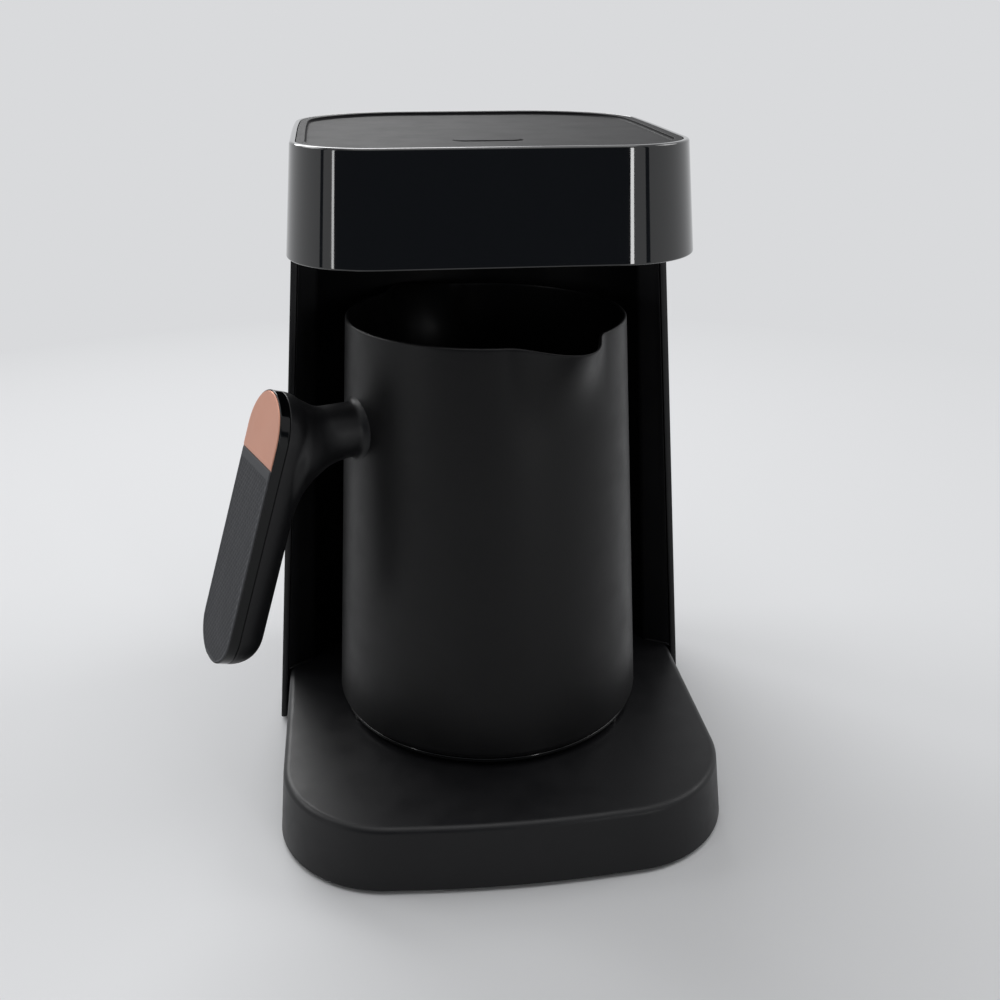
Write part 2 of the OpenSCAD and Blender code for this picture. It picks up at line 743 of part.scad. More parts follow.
module underside_plate() {
  color(matt_black) difference() {
    union() {
      band_cut(band_t + panel_gap, plate_z, plate_top);
      for (p = post_spots) translate([p[0], p[1], plate_top - seat])
        cylinder(r = post_r, h = post_top - plate_top + seat);
    }
    for (p = post_spots) translate([p[0], p[1], post_top - 2 * board_screw_l])
      cylinder(r = boss_bore_r, h = 3 * board_screw_l);
    for (p = top_boss_spots) translate([p[0], p[1], plate_z - past])
      cylinder(r = screw_hole_r, h = underside_t + 2 * past);
    translate([0, 0, plate_z - past]) cylinder(r = window_r + panel_gap, h = underside_t + 2 * past);
    translate([-loom_window[0] / 2, loom_y - loom_window[1] / 2, plate_z - past])
      cube([loom_window[0], loom_window[1], underside_t + 2 * past]);
  }
}

module head_screws() {
  color(steel) for (p = top_boss_spots) translate([p[0], p[1], plate_top + seat])
    screw(head_r, head_t, screw_r, head_screw_l);
}

module sensor_window() {
  face_z = plate_z + 0.3;
  bevel = 0.3;
  flange_z = plate_top + seat;
  color([0.05, 0.04, 0.05]) rotate_extrude() polygon([[0, face_z], [window_r - bevel, face_z],
    [window_r, face_z + bevel], [window_r, flange_z], [window_flange_r, flange_z],
    [window_flange_r, flange_z + window_flange_t], [0, flange_z + window_flange_t]]);
}

holder_z = plate_top + window_flange_t + 2 * seat;
control_z = post_top + seat;

holder_bore_r = 3;
holder_bore_h = 8;
holder_wall = 3;
holder_flange_t = 2;

module sensor_holder() {
  color(matt_black) translate([0, 0, holder_z]) difference() {
    union() {
      cylinder(r = window_flange_r, h = holder_flange_t);
      cylinder(r = holder_bore_r + holder_wall, h = control_z - holder_z - seat);
    }
    translate([0, 0, -past]) cylinder(r = holder_bore_r, h = holder_bore_h + past);
  }
}

control_top = control_z + board_t;
control_size = [78, 66];
chip_size = [12, 12, 1.6];
chip_y = 18;
plug_size = [12, 8, 6];
plug_y = control_mid_y + control_size[1] / 2 - plug_size[1];

module control_board() {
  color(board_green) difference() {
    translate([-control_size[0] / 2, control_mid_y - control_size[1] / 2, control_z])
      cube([control_size[0], control_size[1], board_t]);
    for (p = post_spots) translate([p[0], p[1], control_z - past])
      cylinder(r = screw_hole_r, h = board_t + 2 * past);
  }
  color([0.1, 0.1, 0.1]) translate([-chip_size[0] / 2, chip_y - chip_size[1] / 2, control_top - seat])
    cube(chip_size + [0, 0, seat]);
  color(plastic_grey) translate([loom_x - plug_size[0] / 2, plug_y, control_top - seat])
    cube(plug_size);
}

switch_size = 5;
switch_h = 3.5;
plunger_h = 1.2;
plunger_r = 1.5;
switch_top = control_top + seat + switch_h + plunger_h;

module button_switch() {
  color([0.2, 0.2, 0.2]) translate([0, -button_front, control_top + seat]) {
    translate([-switch_size / 2, -switch_size / 2, 0]) cube([switch_size, switch_size, switch_h]);
    cylinder(r = plunger_r, h = switch_h + plunger_h);
  }
}

module buzzer() {
  buzzer_at = [24, 24, control_top + seat];
  buzzer_r = 6;
  buzzer_h = 7;
  sound_hole_r = 1;
  color([0.05, 0.05, 0.05]) translate(buzzer_at) difference() {
    cylinder(r = buzzer_r, h = buzzer_h);
    translate([0, 0, buzzer_h - past]) cylinder(r = sound_hole_r, h = 2 * past);
  }
}

button_flange_t = 1.4;
button_flange_w = 0.8;
button_flange_top = panel_foot - seat;
button_flange_foot = button_flange_top - button_flange_t;
stem_r = 2.2;
stem_gap = 0.1;

module start_button() {
  color(satin_black) translate([0, -button_front, 0]) {
    translate([0, 0, button_flange_top - seat])
      pill(button_l, button_w, panel_floor + button_proud - button_flange_top + seat);
    translate([0, 0, button_flange_foot])
      pill(button_l + 2 * button_flange_w, button_w + 2 * button_flange_w, button_flange_t);
    translate([0, 0, switch_top + stem_gap + button_travel])
      cylinder(r = stem_r, h = button_flange_foot - switch_top - stem_gap - button_travel + seat);
  }
}

module button_spring() {
  foot = control_top + seat;
  spring_r = 4.4;
  wire_r = 0.45;
  turns = 5;
  color(steel) translate([0, -button_front, foot])
    coil(spring_r, wire_r, button_flange_foot - seat - foot, turns, 10, 5);
}

module control_loom() {
  z1 = control_top + plug_size[2] / 2;
  color([0.75, 0.75, 0.72])
    loom(loom_x, plug_y + plug_size[1] + seat, loom_y, header_z + top_header[1] / 2 + seat, z1);
}

module board_screws() {
  color(steel) {
    for (p = board_spots) translate([p[0], board_face_y - seat, p[1]]) rotate([90, 0, 0])
      screw(head_r, head_t, screw_r, board_t + board_screw_l - 1);
    for (p = post_spots) translate([p[0], p[1], control_top + seat])
      screw(head_r, head_t, screw_r, board_t + board_screw_l);
  }
}

// ---- pot ----

ring_z = base_h + pot_gap;
body_z = ring_z + ring_h;
rim_z = body_z + pot_h;
floor_z = body_z + pot_floor;
foot_edge = 2.5;
floor_fillet = 8;
lip_angles = [for (s = [-1, 1]) handle_turn + lip_turn + s * 90];

function wall_r(z) = mix(foot_outer_r, rim_r, (z - body_z) / pot_h);

// Share of a lip's reach at angle a: a smooth swell over both lips
function lip_swell(a) = max([for (c = lip_angles)
  let (d = abs((a - c + 540) % 360 - 180)) d >= lip_half_angle ? 0 : pow(cos(90 * d / lip_half_angle), 2)]);
function lip_rise(z) = pow(max(0, (z - rim_z + lip_drop) / lip_drop), 2);

// Ring of the pot's wall, set in by i at height z, swollen and dipped at the lips
function pot_ring(i, z) =
  [for (k = [0:pot_sides - 1]) let (a = 360 * k / pot_sides + handle_turn)
    let (s = lip_swell(a) * lip_rise(z), r = wall_r(z) - i + lip_reach * s)
    [r * cos(a), r * sin(a), z - lip_dip * s]];

// Plain ring of radius r at height z
function plain_ring(r, z) =
  [for (k = [0:pot_sides - 1]) let (a = 360 * k / pot_sides + handle_turn) [r * cos(a), r * sin(a), z]];

// Closed solid of revolution through rings, with a pole at each end of the list
module ringed(rings, pole_a, pole_b) {
  n = pot_sides;
  last = len(rings) - 1;
  pole_1 = n * len(rings);
  polyhedron(
    points = concat([for (ring = rings) each ring], [[0, 0, pole_a], [0, 0, pole_b]]),
    faces = concat(
      [for (i = [0:n - 1]) [pole_1, (i + 1) % n, i]],
      [for (k = [0:last - 1]) for (i = [0:n - 1]) let (a = k * n + i, b = k * n + (i + 1) % n)
        each two(a, b, b + n, a + n)],
      [for (i = [0:n - 1]) [last * n + i, last * n + (i + 1) % n, pole_1 + 1]]));
}

module pot_body() {
  inner_floor = floor_z + pot_t;
  inner_r = wall_r(inner_floor + floor_fillet) - pot_t - floor_fillet;
  levels = [for (t = [0, 0.3, 0.5, 0.68, 0.84, 1]) rim_z - lip_drop * (1 - t)];
  color(matt_black) ringed(
    concat(
      [for (a = [0, 30, 60, 90])
        plain_ring(inner_r + floor_fillet * sin(a), inner_floor + floor_fillet * (1 - cos(a)))],
      [for (z = levels) pot_ring(pot_t, z)],
      [for (z = reverse(levels)) pot_ring(0, z)],
      [for (a = [0, 45, 90]) plain_ring(wall_r(body_z + foot_edge) - foot_edge * (1 - cos(a)),
        body_z + foot_edge * (1 - sin(a)))],
      [plain_ring(foot_outer_r - foot_edge - pot_t, body_z),
        plain_ring(wall_r(body_z + 2 * foot_edge) - pot_t, body_z + 2 * foot_edge),
        plain_ring(wall_r(floor_z) - pot_t, floor_z)]),
    inner_floor, floor_z);
}

// ---- pot's underside ----

cavity_h = 5.2;
plug_outer_r = foot_outer_r - foot_edge - pot_t - fit;
plug_inner_r = plug_outer_r - 3.7;
cover_z = base_h + cavity_h;
pot_cover_t = 2;
ledge_z = cover_z + pot_cover_t + seat;
ring_ledge_t = 1.5;
ring_ledge_w = 3;
pad_r = 3.2;
stud_r = 3;
stud_ring_r = 45;
stud_angles = [for (k = [0:2]) handle_turn + 60 + 120 * k];
connector_r = 20;
connector_flange_r = 22;
contact_z = hub_top + pin_proud + fit;
contact_t = 1.2;
pot_screw_l = 9;
contact_inner = [0, 4.7, 9.3];
contact_outer = [2.6, 8.3, 12.8];

module foot_ring() {
  outer = foot_outer_r - foot_edge / 2;
  color(gloss_black) {
    rotate_extrude() polygon([[plug_inner_r, ring_z], [outer - 1, ring_z], [outer, ring_z + 0.8],
      [outer, body_z - seat], [plug_outer_r, body_z - seat], [plug_outer_r, ledge_z + ring_ledge_t],
      [plug_inner_r - ring_ledge_w, ledge_z + ring_ledge_t], [plug_inner_r - ring_ledge_w, ledge_z],
      [plug_inner_r, ledge_z]]);
    for (k = [0:2]) rotate([0, 0, handle_turn + 120 * k])
      translate([(plug_inner_r + outer) / 2, 0, base_h]) cylinder(r = pad_r, h = pot_gap + seat);
  }
}

module pot_base_cover() {
  color(matt_black) difference() {
    translate([0, 0, cover_z]) cylinder(r = plug_inner_r - fit, h = pot_cover_t);
    translate([0, 0, cover_z - past]) cylinder(r = connector_r + fit, h = pot_cover_t + 2 * past);
    for (a = stud_angles) rotate([0, 0, a]) translate([stud_ring_r, 0, cover_z - past])
      cylinder(r = screw_hole_r, h = pot_cover_t + 2 * past);
  }
}

module pot_studs() {
  bore_l = 9;
  color(steel) for (a = stud_angles) rotate([0, 0, a]) translate([stud_ring_r, 0, ledge_z])
    difference() {
      cylinder(r = stud_r, h = floor_z - ledge_z - seat);
      translate([0, 0, -past]) cylinder(r = boss_bore_r, h = bore_l + past);
    }
}

module pot_screws() {
  color(steel) for (a = stud_angles) rotate([0, 0, a]) translate([stud_ring_r, 0, cover_z - seat])
    mirror([0, 0, 1]) screw(head_r, head_t, screw_r, pot_screw_l);
}

heater_z = floor_z - seat - heater_t;
element_z = heater_z - 1.2;
element_span = 300;
element_tail_z = cover_z + pot_cover_t + 1;
element_start = handle_turn + 30;

module heater_disc() {
  color([0.78, 0.79, 0.80]) difference() {
    translate([0, 0, heater_z]) cylinder(r = heater_r, h = heater_t);
    translate([0, 0, element_z]) rotate_extrude() translate([element_ring_r, 0])
      circle(element_r + seat);
  }
}

module heating_element() {
  tail_r = 1.6;
  tail_set = 4;
  color([0.55, 0.55, 0.57]) {
    translate([0, 0, element_z]) rotate([0, 0, element_start]) rotate_extrude(angle = element_span)
      translate([element_ring_r, 0]) circle(element_r);
    for (a = [tail_set, element_span - tail_set]) rotate([0, 0, element_start + a])
      translate([element_ring_r, 0, element_tail_z])
        cylinder(r = tail_r, h = element_z - element_tail_z);
  }
}

cutout_r = 5.5;
cutout_x = 12;
cutout_space = 6.6;
connector_top = heater_z - cutout_space;

module thermal_cutout() {
  color(steel) rotate([0, 0, handle_turn]) translate([cutout_x, 0, connector_top + fit])
    cylinder(r = cutout_r, h = cutout_space - fit - seat);
}

module pot_connector() {
  body_foot = contact_z + 0.2;
  flange_t = 1.6;
  color(matt_black) difference() {
    union() {
      translate([0, 0, body_foot]) cylinder(r = connector_r, h = connector_top - body_foot);
      translate([0, 0, ledge_z]) cylinder(r = connector_flange_r, h = flange_t);
    }
    for (k = [0:2]) translate([0, 0, body_foot - past]) difference() {
      cylinder(r = contact_outer[k] + seat, h = contact_t + past);
      translate([0, 0, -past]) cylinder(r = max(contact_inner[k] - seat, 0.01), h = contact_t + 3 * past);
    }
  }
}

module contact_rings() {
  color(brass) for (k = [0:2]) translate([0, 0, contact_z]) difference() {
    cylinder(r = contact_outer[k], h = contact_t);
    if (contact_inner[k] > 0) translate([0, 0, -past])
      cylinder(r = contact_inner[k], h = contact_t + 2 * past);
  }
}

// ---- handle ----

// Children drawn with X away from the pot, in the handle's direction
module handle_side() {
  rotate([0, 0, handle_turn]) children();
}

// Children drawn with X out of the grip's face, Y across it and Z up along it
module grip_place() {
  translate([grip_reach, 0, grip_z]) rotate([0, -grip_lean, 0]) children();
}

// Turns a plate drawn in XY and raised along Z, so that it is drawn in YZ and raised along X
module across() {
  rotate([90, 0, 90]) children();
}

// Outline of the grip's face, taken in by i, its width and ends scaled by s
function grip_plan(i, s = 1) =
  let (top = (grip_top_hw - i) * s, foot = (grip_foot_hw - i) * s)
  concat([for (k = [0:12]) let (a = 15 * k) [top * cos(a), grip_end * top * sin(a)]],
    [for (k = [0:12]) let (a = 180 + 15 * k) [foot * cos(a), grip_end * foot * sin(a) - grip_l]]);

function back_scale(u) = pow(1 - pow(u, back_round), 1 / back_round);

// Height that a fillet of radius r reaches at distance d from the wall that it meets
function flare(d, r) = d >= r ? 0 : r - sqrt(r * r - pow(r - max(d, 0), 2));

// Rise of a fillet of radius r at distance d past its start, up to the given share of r
function bend(d, r, share) = r - sqrt(r * r - pow(min(max(d, 0), share * r), 2));

lean_run = tan(grip_lean);
function face_x(z) = grip_reach + (grip_z - z) * lean_run;
function back_x(z) = face_x(z) - grip_depth / cos(grip_lean);

// Arm from inside the pot's wall to where its lower fillet runs along the grip's back
arm_wall_x = wall_r(arm_z);
arm_root = 5;
arm_foot_x = back_x(arm_z - arm_r) - arm_grip_flare * tan((90 - grip_lean) / 2);
arm_end_x = arm_foot_x + arm_grip_flare * cos(grip_lean);
arm_top_x = back_x(arm_z + arm_r) - arm_top_flare / 3;
arm_top_share = 0.75;
// Share of the lower fillet's drop by which the arm's sides widen
arm_side_share = 1 / 6;

function arm_section(x) =
  let (base = arm_r + flare(x - arm_wall_x, arm_pot_flare))
  let (drop = bend(x - arm_foot_x, arm_grip_flare, cos(grip_lean)))
  let (rise = bend(x - arm_top_x, arm_top_flare, arm_top_share))
  [for (k = [0:23]) let (a = 15 * k)
    [(base + arm_side_share * drop) * cos(a), arm_z + (base + (a < 180 ? rise : drop)) * sin(a)]];

// Arm, cut off inside the grip's back
module arm() {
  pot_xs = [for (t = [0, 0.15, 0.4, 1]) arm_wall_x + t * arm_pot_flare];
  grip_xs = [for (t = [0.15, 0.3, 0.45, 0.6, 0.72, 0.82, 0.91, 1])
    mix(arm_wall_x + arm_pot_flare, arm_end_x, t)];
  xs = concat([arm_wall_x - arm_root], pot_xs, grip_xs);
  difference() {
    across() loft([for (x = xs) arm_section(x)], xs);
    grip_place() translate([-trim_depth - past, -grip_depth, -grip_l])
      cube([grip_depth, 2 * grip_depth, 2 * grip_l]);
  }
}

module grip_back() {
  steps = [0.995, 0.97, 0.92, 0.84, 0.74, 0.6, 0.42, 0.2, 0];
  depth = grip_depth - trim_depth - seat;
  across() loft([for (u = steps) grip_plan(0, back_scale(u))],
    [for (u = steps) -trim_depth - seat - depth * u]);
}

bracket_r = 6;
bracket_l = 7.5;
bracket_end_x = arm_wall_x + bracket_l;
screw_bore_r = 2;
screw_run = 0.2;
screw_seat_x = back_x(arm_z) + 5;
handle_head_r = 3.8;
handle_head_t = 2.4;
head_bore_r = handle_head_r + 0.4;

// Cone of the pot's outer wall, set out by o, used to fit pieces against it
module pot_cone(o) {
  translate([0, 0, body_z]) cylinder(r1 = wall_r(body_z) + o, r2 = wall_r(rim_z) + o, h = pot_h, $fn = 96);
}

module handle_body() {
  color(satin_black) handle_side() difference() {
    union() {
      arm();
      grip_place() grip_back();
    }
    pot_cone(seat);
    translate([0, 0, arm_z]) rotate([0, 90, 0]) {
      cylinder(r = bracket_r + 2 * seat, h = bracket_end_x + seat);
      cylinder(r = screw_bore_r + screw_run, h = screw_seat_x + past);
      translate([0, 0, screw_seat_x]) cylinder(r = head_bore_r, h = grip_reach);
    }
  }
}

module handle_bracket() {
  color(steel) handle_side() difference() {
    translate([0, 0, arm_z]) rotate([0, 90, 0]) cylinder(r = bracket_r, h = bracket_end_x);
    pot_cone(seat);
    translate([arm_wall_x + past, 0, arm_z]) rotate([0, 90, 0])
      cylinder(r = screw_bore_r, h = bracket_l);
  }
}

module handle_screw() {
  shank_end = arm_wall_x + 2 * past;
  color(steel) handle_side() translate([screw_seat_x + seat, 0, arm_z]) rotate([0, 90, 0])
    screw(handle_head_r, handle_head_t, screw_bore_r - seat, screw_seat_x - shank_end);
}

module handle_trim() {
  color(gloss_black) handle_side() grip_place() across() difference() {
    translate([0, 0, -trim_depth]) linear_extrude(trim_depth - inlay_proud) polygon(grip_plan(0));
    translate([0, 0, -inlay_t]) linear_extrude(inlay_t + past) polygon(grip_plan(trim_rim));
  }
}

// Part of the inlay from the grip's own height v0 up to v1
module inlay(v0, v1) {
  handle_side() grip_place() across() intersection() {
    translate([0, 0, seat - inlay_t]) linear_extrude(inlay_t - seat)
      polygon(grip_plan(trim_rim + 2 * seat));
    translate([-2 * grip_top_hw, v0, -2 * inlay_t]) cube([4 * grip_top_hw, v1 - v0, 4 * inlay_t]);
  }
}

module copper_inlay() {
  color(copper) inlay(seat - copper_l, grip_top_hw);
}

module rubber_grip() {
  color(grey_rubber) inlay(-grip_l - grip_foot_hw, -copper_l - seat);
}

base_shell();
base_cover();
rubber_feet();
cover_screws();
connector_hub();
hub_plug();
contact_pins();
contact_springs();
niche_shell();
outer_skin();
column_screws();
power_board();
board_screws();
power_relay();
power_supply();
terminal_block();
cord_gland();
control_loom();
head_band();
top_panel();
underside_plate();
head_screws();
sensor_window();
sensor_holder();
control_board();
button_switch();
buzzer();
start_button();
button_spring();
pot_body();
foot_ring();
pot_base_cover();
pot_studs();
pot_screws();
heater_disc();
heating_element();
thermal_cutout();
pot_connector();
contact_rings();
hub_loom();
handle_bracket();
handle_body();
handle_trim();
copper_inlay();
rubber_grip();
handle_screw();
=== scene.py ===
"""Looks of an electric coffee machine: a tapered column, a glossy head, a base and a heated pot.

Sizes are in millimetres and angles in degrees, in the part's frame: +Z up, the front towards -Y
and the origin on the table under the pot's axis. Meshes are worked out as numpy grids and are
turned to metres when they go into Blender.
"""

import logging
import math
from dataclasses import dataclass, field
from enum import Enum
from typing import Any, Callable, Mapping, Sequence

import bmesh
import bpy
import numpy as np
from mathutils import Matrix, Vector


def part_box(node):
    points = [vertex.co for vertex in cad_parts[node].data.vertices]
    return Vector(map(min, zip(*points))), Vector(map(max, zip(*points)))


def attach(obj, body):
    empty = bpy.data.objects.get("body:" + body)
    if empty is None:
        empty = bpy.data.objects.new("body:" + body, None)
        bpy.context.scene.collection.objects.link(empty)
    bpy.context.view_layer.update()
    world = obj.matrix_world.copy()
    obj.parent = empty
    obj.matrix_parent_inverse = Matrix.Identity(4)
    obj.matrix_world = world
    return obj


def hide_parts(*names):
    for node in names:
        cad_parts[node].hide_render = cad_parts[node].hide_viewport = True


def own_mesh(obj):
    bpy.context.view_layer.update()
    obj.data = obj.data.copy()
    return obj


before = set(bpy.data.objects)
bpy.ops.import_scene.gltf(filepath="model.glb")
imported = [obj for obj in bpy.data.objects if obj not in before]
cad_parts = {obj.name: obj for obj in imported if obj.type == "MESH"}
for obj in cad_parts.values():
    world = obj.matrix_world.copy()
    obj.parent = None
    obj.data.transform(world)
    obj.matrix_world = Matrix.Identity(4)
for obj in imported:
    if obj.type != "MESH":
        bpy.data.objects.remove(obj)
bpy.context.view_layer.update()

log = logging.getLogger("coffee_machine")

MM = 0.001
Array = np.ndarray

# Points closer than this, in metres, are one point; shorter edges are dropped
MERGE_M, SHORTEST_M = 2e-6, 1e-7
# Rounds that move a net onto its surface, and the least squared slope they divide by
NET_ROUNDS, LEAST_SLOPE = 4, 0.05
# Stations of a wall's rounded end, as shares of its length
NOSE_SHARES = np.array([0.0, 0.12, 0.3, 0.55, 0.8, 1.0])
# One over the largest value of s^2 (1 - s), which is 4/27
BULGE_SCALE = 27 / 4
# Sizes of the patches over which a finish drifts in colour and in roughness
DRIFT_MM, TOUCH_MM = 30, 12

# ---------------------------------------------------------------------------------------------
# Grids: a shape is a function of two parameters, kept as an array of rows x columns x 3
# ---------------------------------------------------------------------------------------------


def mix(a: Any, b: Any, t: Any) -> Any:
    """Straight line from a at t = 0 to b at t = 1."""
    return a + (b - a) * t


def unit(v: Array) -> Array:
    """Vectors of length one along the last axis."""
    return v / np.linalg.norm(v, axis=-1, keepdims=True)


def smooth_step(t: Any) -> Array:
    """Cubic that rises from 0 to 1 as t goes from 0 to 1 and is level at both ends."""
    t = np.clip(t, 0.0, 1.0)
    return t * t * (3.0 - 2.0 * t)


def arc(centre: Array, radius: Any, start: Any, end: Any, steps: int) -> Array:
    """Circle arc: centre + radius times (cos a, sin a), with a going from start to end.

    Args:
        centre: Points, shape (..., 2).
        radius: Radii, shape (...).
        start: First angle in degrees, a number or shape (...).
        end: Last angle in degrees, a number or shape (...).
        steps: Number of chords.

    Returns:
        Points, shape (steps + 1, ..., 2).
    """
    centre = np.asarray(centre, float)
    radius = np.asarray(radius, float)
    share = np.linspace(0.0, 1.0, steps + 1).reshape((-1,) + (1,) * radius.ndim)
    angle = np.radians(mix(np.asarray(start, float), np.asarray(end, float), share))
    circle = np.stack([np.cos(angle), np.sin(angle)], axis=-1)
    return centre[None] + radius[..., None] * circle


def side(a: Array, b: Array, hold: float, steps: int) -> Array:
    """Points on the straight line from a to b, both ends left out.

    The first and last points lie `hold` from the ends, so that the shading of a rounded corner
    stays at the corner. The others are spread evenly between them.

    Args:
        a: Start points, shape (..., 2).
        b: End points, shape (..., 2).
        hold: Distance of the first and last point from the ends.
        steps: Number of gaps between the first and last point.

    Returns:
        Points, shape (steps + 1, ..., 2).
    """
    length = np.linalg.norm(b - a, axis=-1)
    near = np.minimum(hold / np.maximum(length, 1e-9), 0.3)
    share = np.linspace(0.0, 1.0, steps + 1).reshape((-1,) + (1,) * length.ndim)
    t = mix(near, 1.0 - near, share)
    return a[None] + (b - a)[None] * t[..., None]


def rounded(corners: Sequence[Array], arc_steps: int, side_steps: int, hold: float,
            closed: bool = True) -> Array:
    """Polygon whose corners are rounded by arcs tangent to both neighbouring sides.

    The arc's centre lies on the corner's bisector at radius / sin(half the corner's angle), and
    its ends lie at radius / tan(half the angle) from the corner.

    Args:
        corners: One array per corner, shape (..., 3), holding x, y and the radius.
        arc_steps: Chords of each arc.
        side_steps: Gaps along each side between the points near its ends.
        hold: Distance of a side's first and last point from the arcs.
        closed: Whether the last corner joins the first; an open path keeps its end points sharp.

    Returns:
        Points, shape (n, ..., 2).
    """
    corners = [np.asarray(c, float) for c in corners]
    count = len(corners)
    arcs = []
    for k, corner in enumerate(corners):
        p, r = corner[..., :2], corner[..., 2]
        end = not closed and k in (0, count - 1)
        if end or not np.any(r > 0):
            arcs.append(p[None])
            continue
        u = unit(corners[k - 1][..., :2] - p)
        v = unit(corners[(k + 1) % count][..., :2] - p)
        half = np.arccos(np.clip((u * v).sum(-1), -1.0, 1.0)) / 2.0
        centre = p + unit(u + v) * (r / np.sin(half))[..., None]
        reach = (r / np.tan(half))[..., None]
        s, e = p + u * reach - centre, p + v * reach - centre
        start = np.degrees(np.arctan2(s[..., 1], s[..., 0]))
        turn = np.degrees(np.arctan2(e[..., 1], e[..., 0])) - start
        turn = (turn + 540.0) % 360.0 - 180.0
        arcs.append(arc(centre, r, start, start + turn, arc_steps))
    stretches = []
    for k in range(count):
        stretches.append(arcs[k])
        if closed or k < count - 1:
            stretches.append(side(arcs[k][-1], arcs[(k + 1) % count][0], hold, side_steps))
    return np.concatenate(stretches)


def profile(points: Sequence[tuple[float, float, float]], closed: bool = True,
            arc_steps: int = 6, hold: float = 0.25) -> tuple[Array, Array]:
    """Rounded outline of a wall's cross-section.

    Args:
        points: Corners as (inset, height, radius).
        closed: Whether the outline is a loop.
        arc_steps: Chords of each rounding.
        hold: Distance of a side's first and last point from its ends.

    Returns:
        Insets and heights, each of shape (n,).
    """
    path = rounded([np.array(p) for p in points], arc_steps, 1, hold, closed)
    return path[:, 0], path[:, 1]


def raised(plan: Array, z: Array) -> Array:
    """Puts heights z, shape (n,), to a plan of shape (m, n, 2)."""
    return np.concatenate([plan, np.broadcast_to(z[None, :, None], plan.shape[:2] + (1,))], -1)


def polar_ring(outline: Array, radius: float, z: float) -> Array:
    """Circle of that radius at height z, whose points have the polar angles of an outline's."""
    angle = np.arctan2(outline[:, 1], outline[:, 0])
    return np.stack([radius * np.cos(angle), radius * np.sin(angle), np.full_like(angle, z)], -1)


def level(plan: Array, z: float) -> Array:
    """Points of a plan, shape (m, 2), put at height z."""
    return np.concatenate([plan, np.full((len(plan), 1), z)], axis=-1)


def between(a: Array, b: Array, steps: int, hold: float = 0.4) -> Array:
    """Rings between ring a and ring b on straight lines, both left out, as (rows, m, 3)."""
    return side(a, b, hold, steps)


@dataclass
class Grid:
    """Surface on a grid of points.

    Attributes:
        points: Shape (rows, columns, 3), in millimetres.
        wrap_rows: Whether the last row joins the first.
        wrap_columns: Whether the last column joins the first.
        caps: Whether the first and last row are each closed by one face.
    """

    points: Array
    wrap_rows: bool = False
    wrap_columns: bool = True
    caps: bool = False

    def faces(self) -> Array:
        """Quadrangles that join each point to the next row's and the next column's."""
        rows, columns = self.points.shape[:2]
        r = np.arange(rows if self.wrap_rows else rows - 1)[:, None]
        c = np.arange(columns if self.wrap_columns else columns - 1)[None, :]
        r2, c2 = (r + 1) % rows, (c + 1) % columns
        quads = [r * columns + c, r * columns + c2, r2 * columns + c2, r2 * columns + c]
        return np.stack(np.broadcast_arrays(*quads), axis=-1).reshape(-1, 4)

    def rims(self) -> list[Array]:
        """Loops of points that are each closed by one face."""
        rows, columns = self.points.shape[:2]
        loop = np.arange(columns)
        return [loop, loop + (rows - 1) * columns] if self.caps else []


@dataclass
class Net:
    """Surface made of quadrangles in any order.

    Attributes:
        points: Shape (n, 3), in millimetres.
        quads: Indices into the points, shape (m, 4).
        holes: Loops of points that are each closed by one face.
    """

    points: Array
    quads: Array
    holes: list[Array] = field(default_factory=list)

    def faces(self) -> Array:
        """The quadrangles."""
        return self.quads

    def rims(self) -> list[Array]:
        """Loops of points that are each closed by one face."""
        return self.holes


def make_mesh(name: str, grids: Sequence[Grid | Net], crease: float) -> bpy.types.Mesh:
    """Mesh of one or more closed grids, merged where points meet and with outward normals.

    Args:
        name: Name of the mesh.
        grids: Its surfaces.
        crease: Angle in degrees above which an edge stays sharp.

    Returns:
        The mesh, in metres.
    """
    mesh = bpy.data.meshes.new(name)
    first = 0
    points, quads, caps = [], [], []
    for grid in grids:
        points.append(grid.points.reshape(-1, 3))
        quads.append(grid.faces() + first)
        caps += [rim + first for rim in grid.rims()]
        first += len(points[-1])
    points, quads = np.concatenate(points) * MM, np.concatenate(quads)
    loops = np.concatenate([quads.reshape(-1)] + caps)
    sizes = np.concatenate([np.full(len(quads), 4)] + [[len(cap)] for cap in caps]).astype(int)
    mesh.vertices.add(len(points))
    mesh.vertices.foreach_set("co", points.reshape(-1))
    mesh.loops.add(len(loops))
    mesh.loops.foreach_set("vertex_index", loops.astype(np.int32))
    mesh.polygons.add(len(sizes))
    mesh.polygons.foreach_set("loop_start", (np.cumsum(sizes) - sizes).astype(np.int32))
    mesh.update(calc_edges=True)
    mesh.validate()
    work = bmesh.new()
    work.from_mesh(mesh)
    bmesh.ops.remove_doubles(work, verts=work.verts, dist=MERGE_M)
    bmesh.ops.dissolve_degenerate(work, edges=work.edges, dist=SHORTEST_M)
    bmesh.ops.recalc_face_normals(work, faces=work.faces)
    work.to_mesh(mesh)
    work.free()
    mesh.polygons.foreach_set("use_smooth", np.ones(len(mesh.polygons), bool))
    mesh.set_sharp_from_angle(angle=math.radians(crease))
    return mesh


def add_object(name: str, data: bpy.types.ID) -> bpy.types.Object:
    """Adds an object with that data to the scene."""
    made = bpy.data.objects.new(name, data)
    bpy.context.scene.collection.objects.link(made)
    return made


def add_piece(name: str, grids: Sequence[Grid | Net], finish: "Finish", body: str,
              replaces: Sequence[str] = (), crease: float = 38.0) -> bpy.types.Object:
    """Adds one piece of the machine to the scene.

    Args:
        name: Name of the piece.
        grids: Its surfaces.
        finish: Its finish.
        body: The body that it moves with.
        replaces: Nodes of the part that it stands for.
        crease: Angle in degrees above which an edge stays sharp.

    Returns:
        The object.
    """
    piece = add_object(name, make_mesh(name, grids, crease))
    piece.data.materials.append(finish.material())
    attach(piece, body)
    if replaces:
        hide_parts(*replaces)
    log.info("piece %s: %d faces on %s", name, len(piece.data.polygons), body)
    return piece


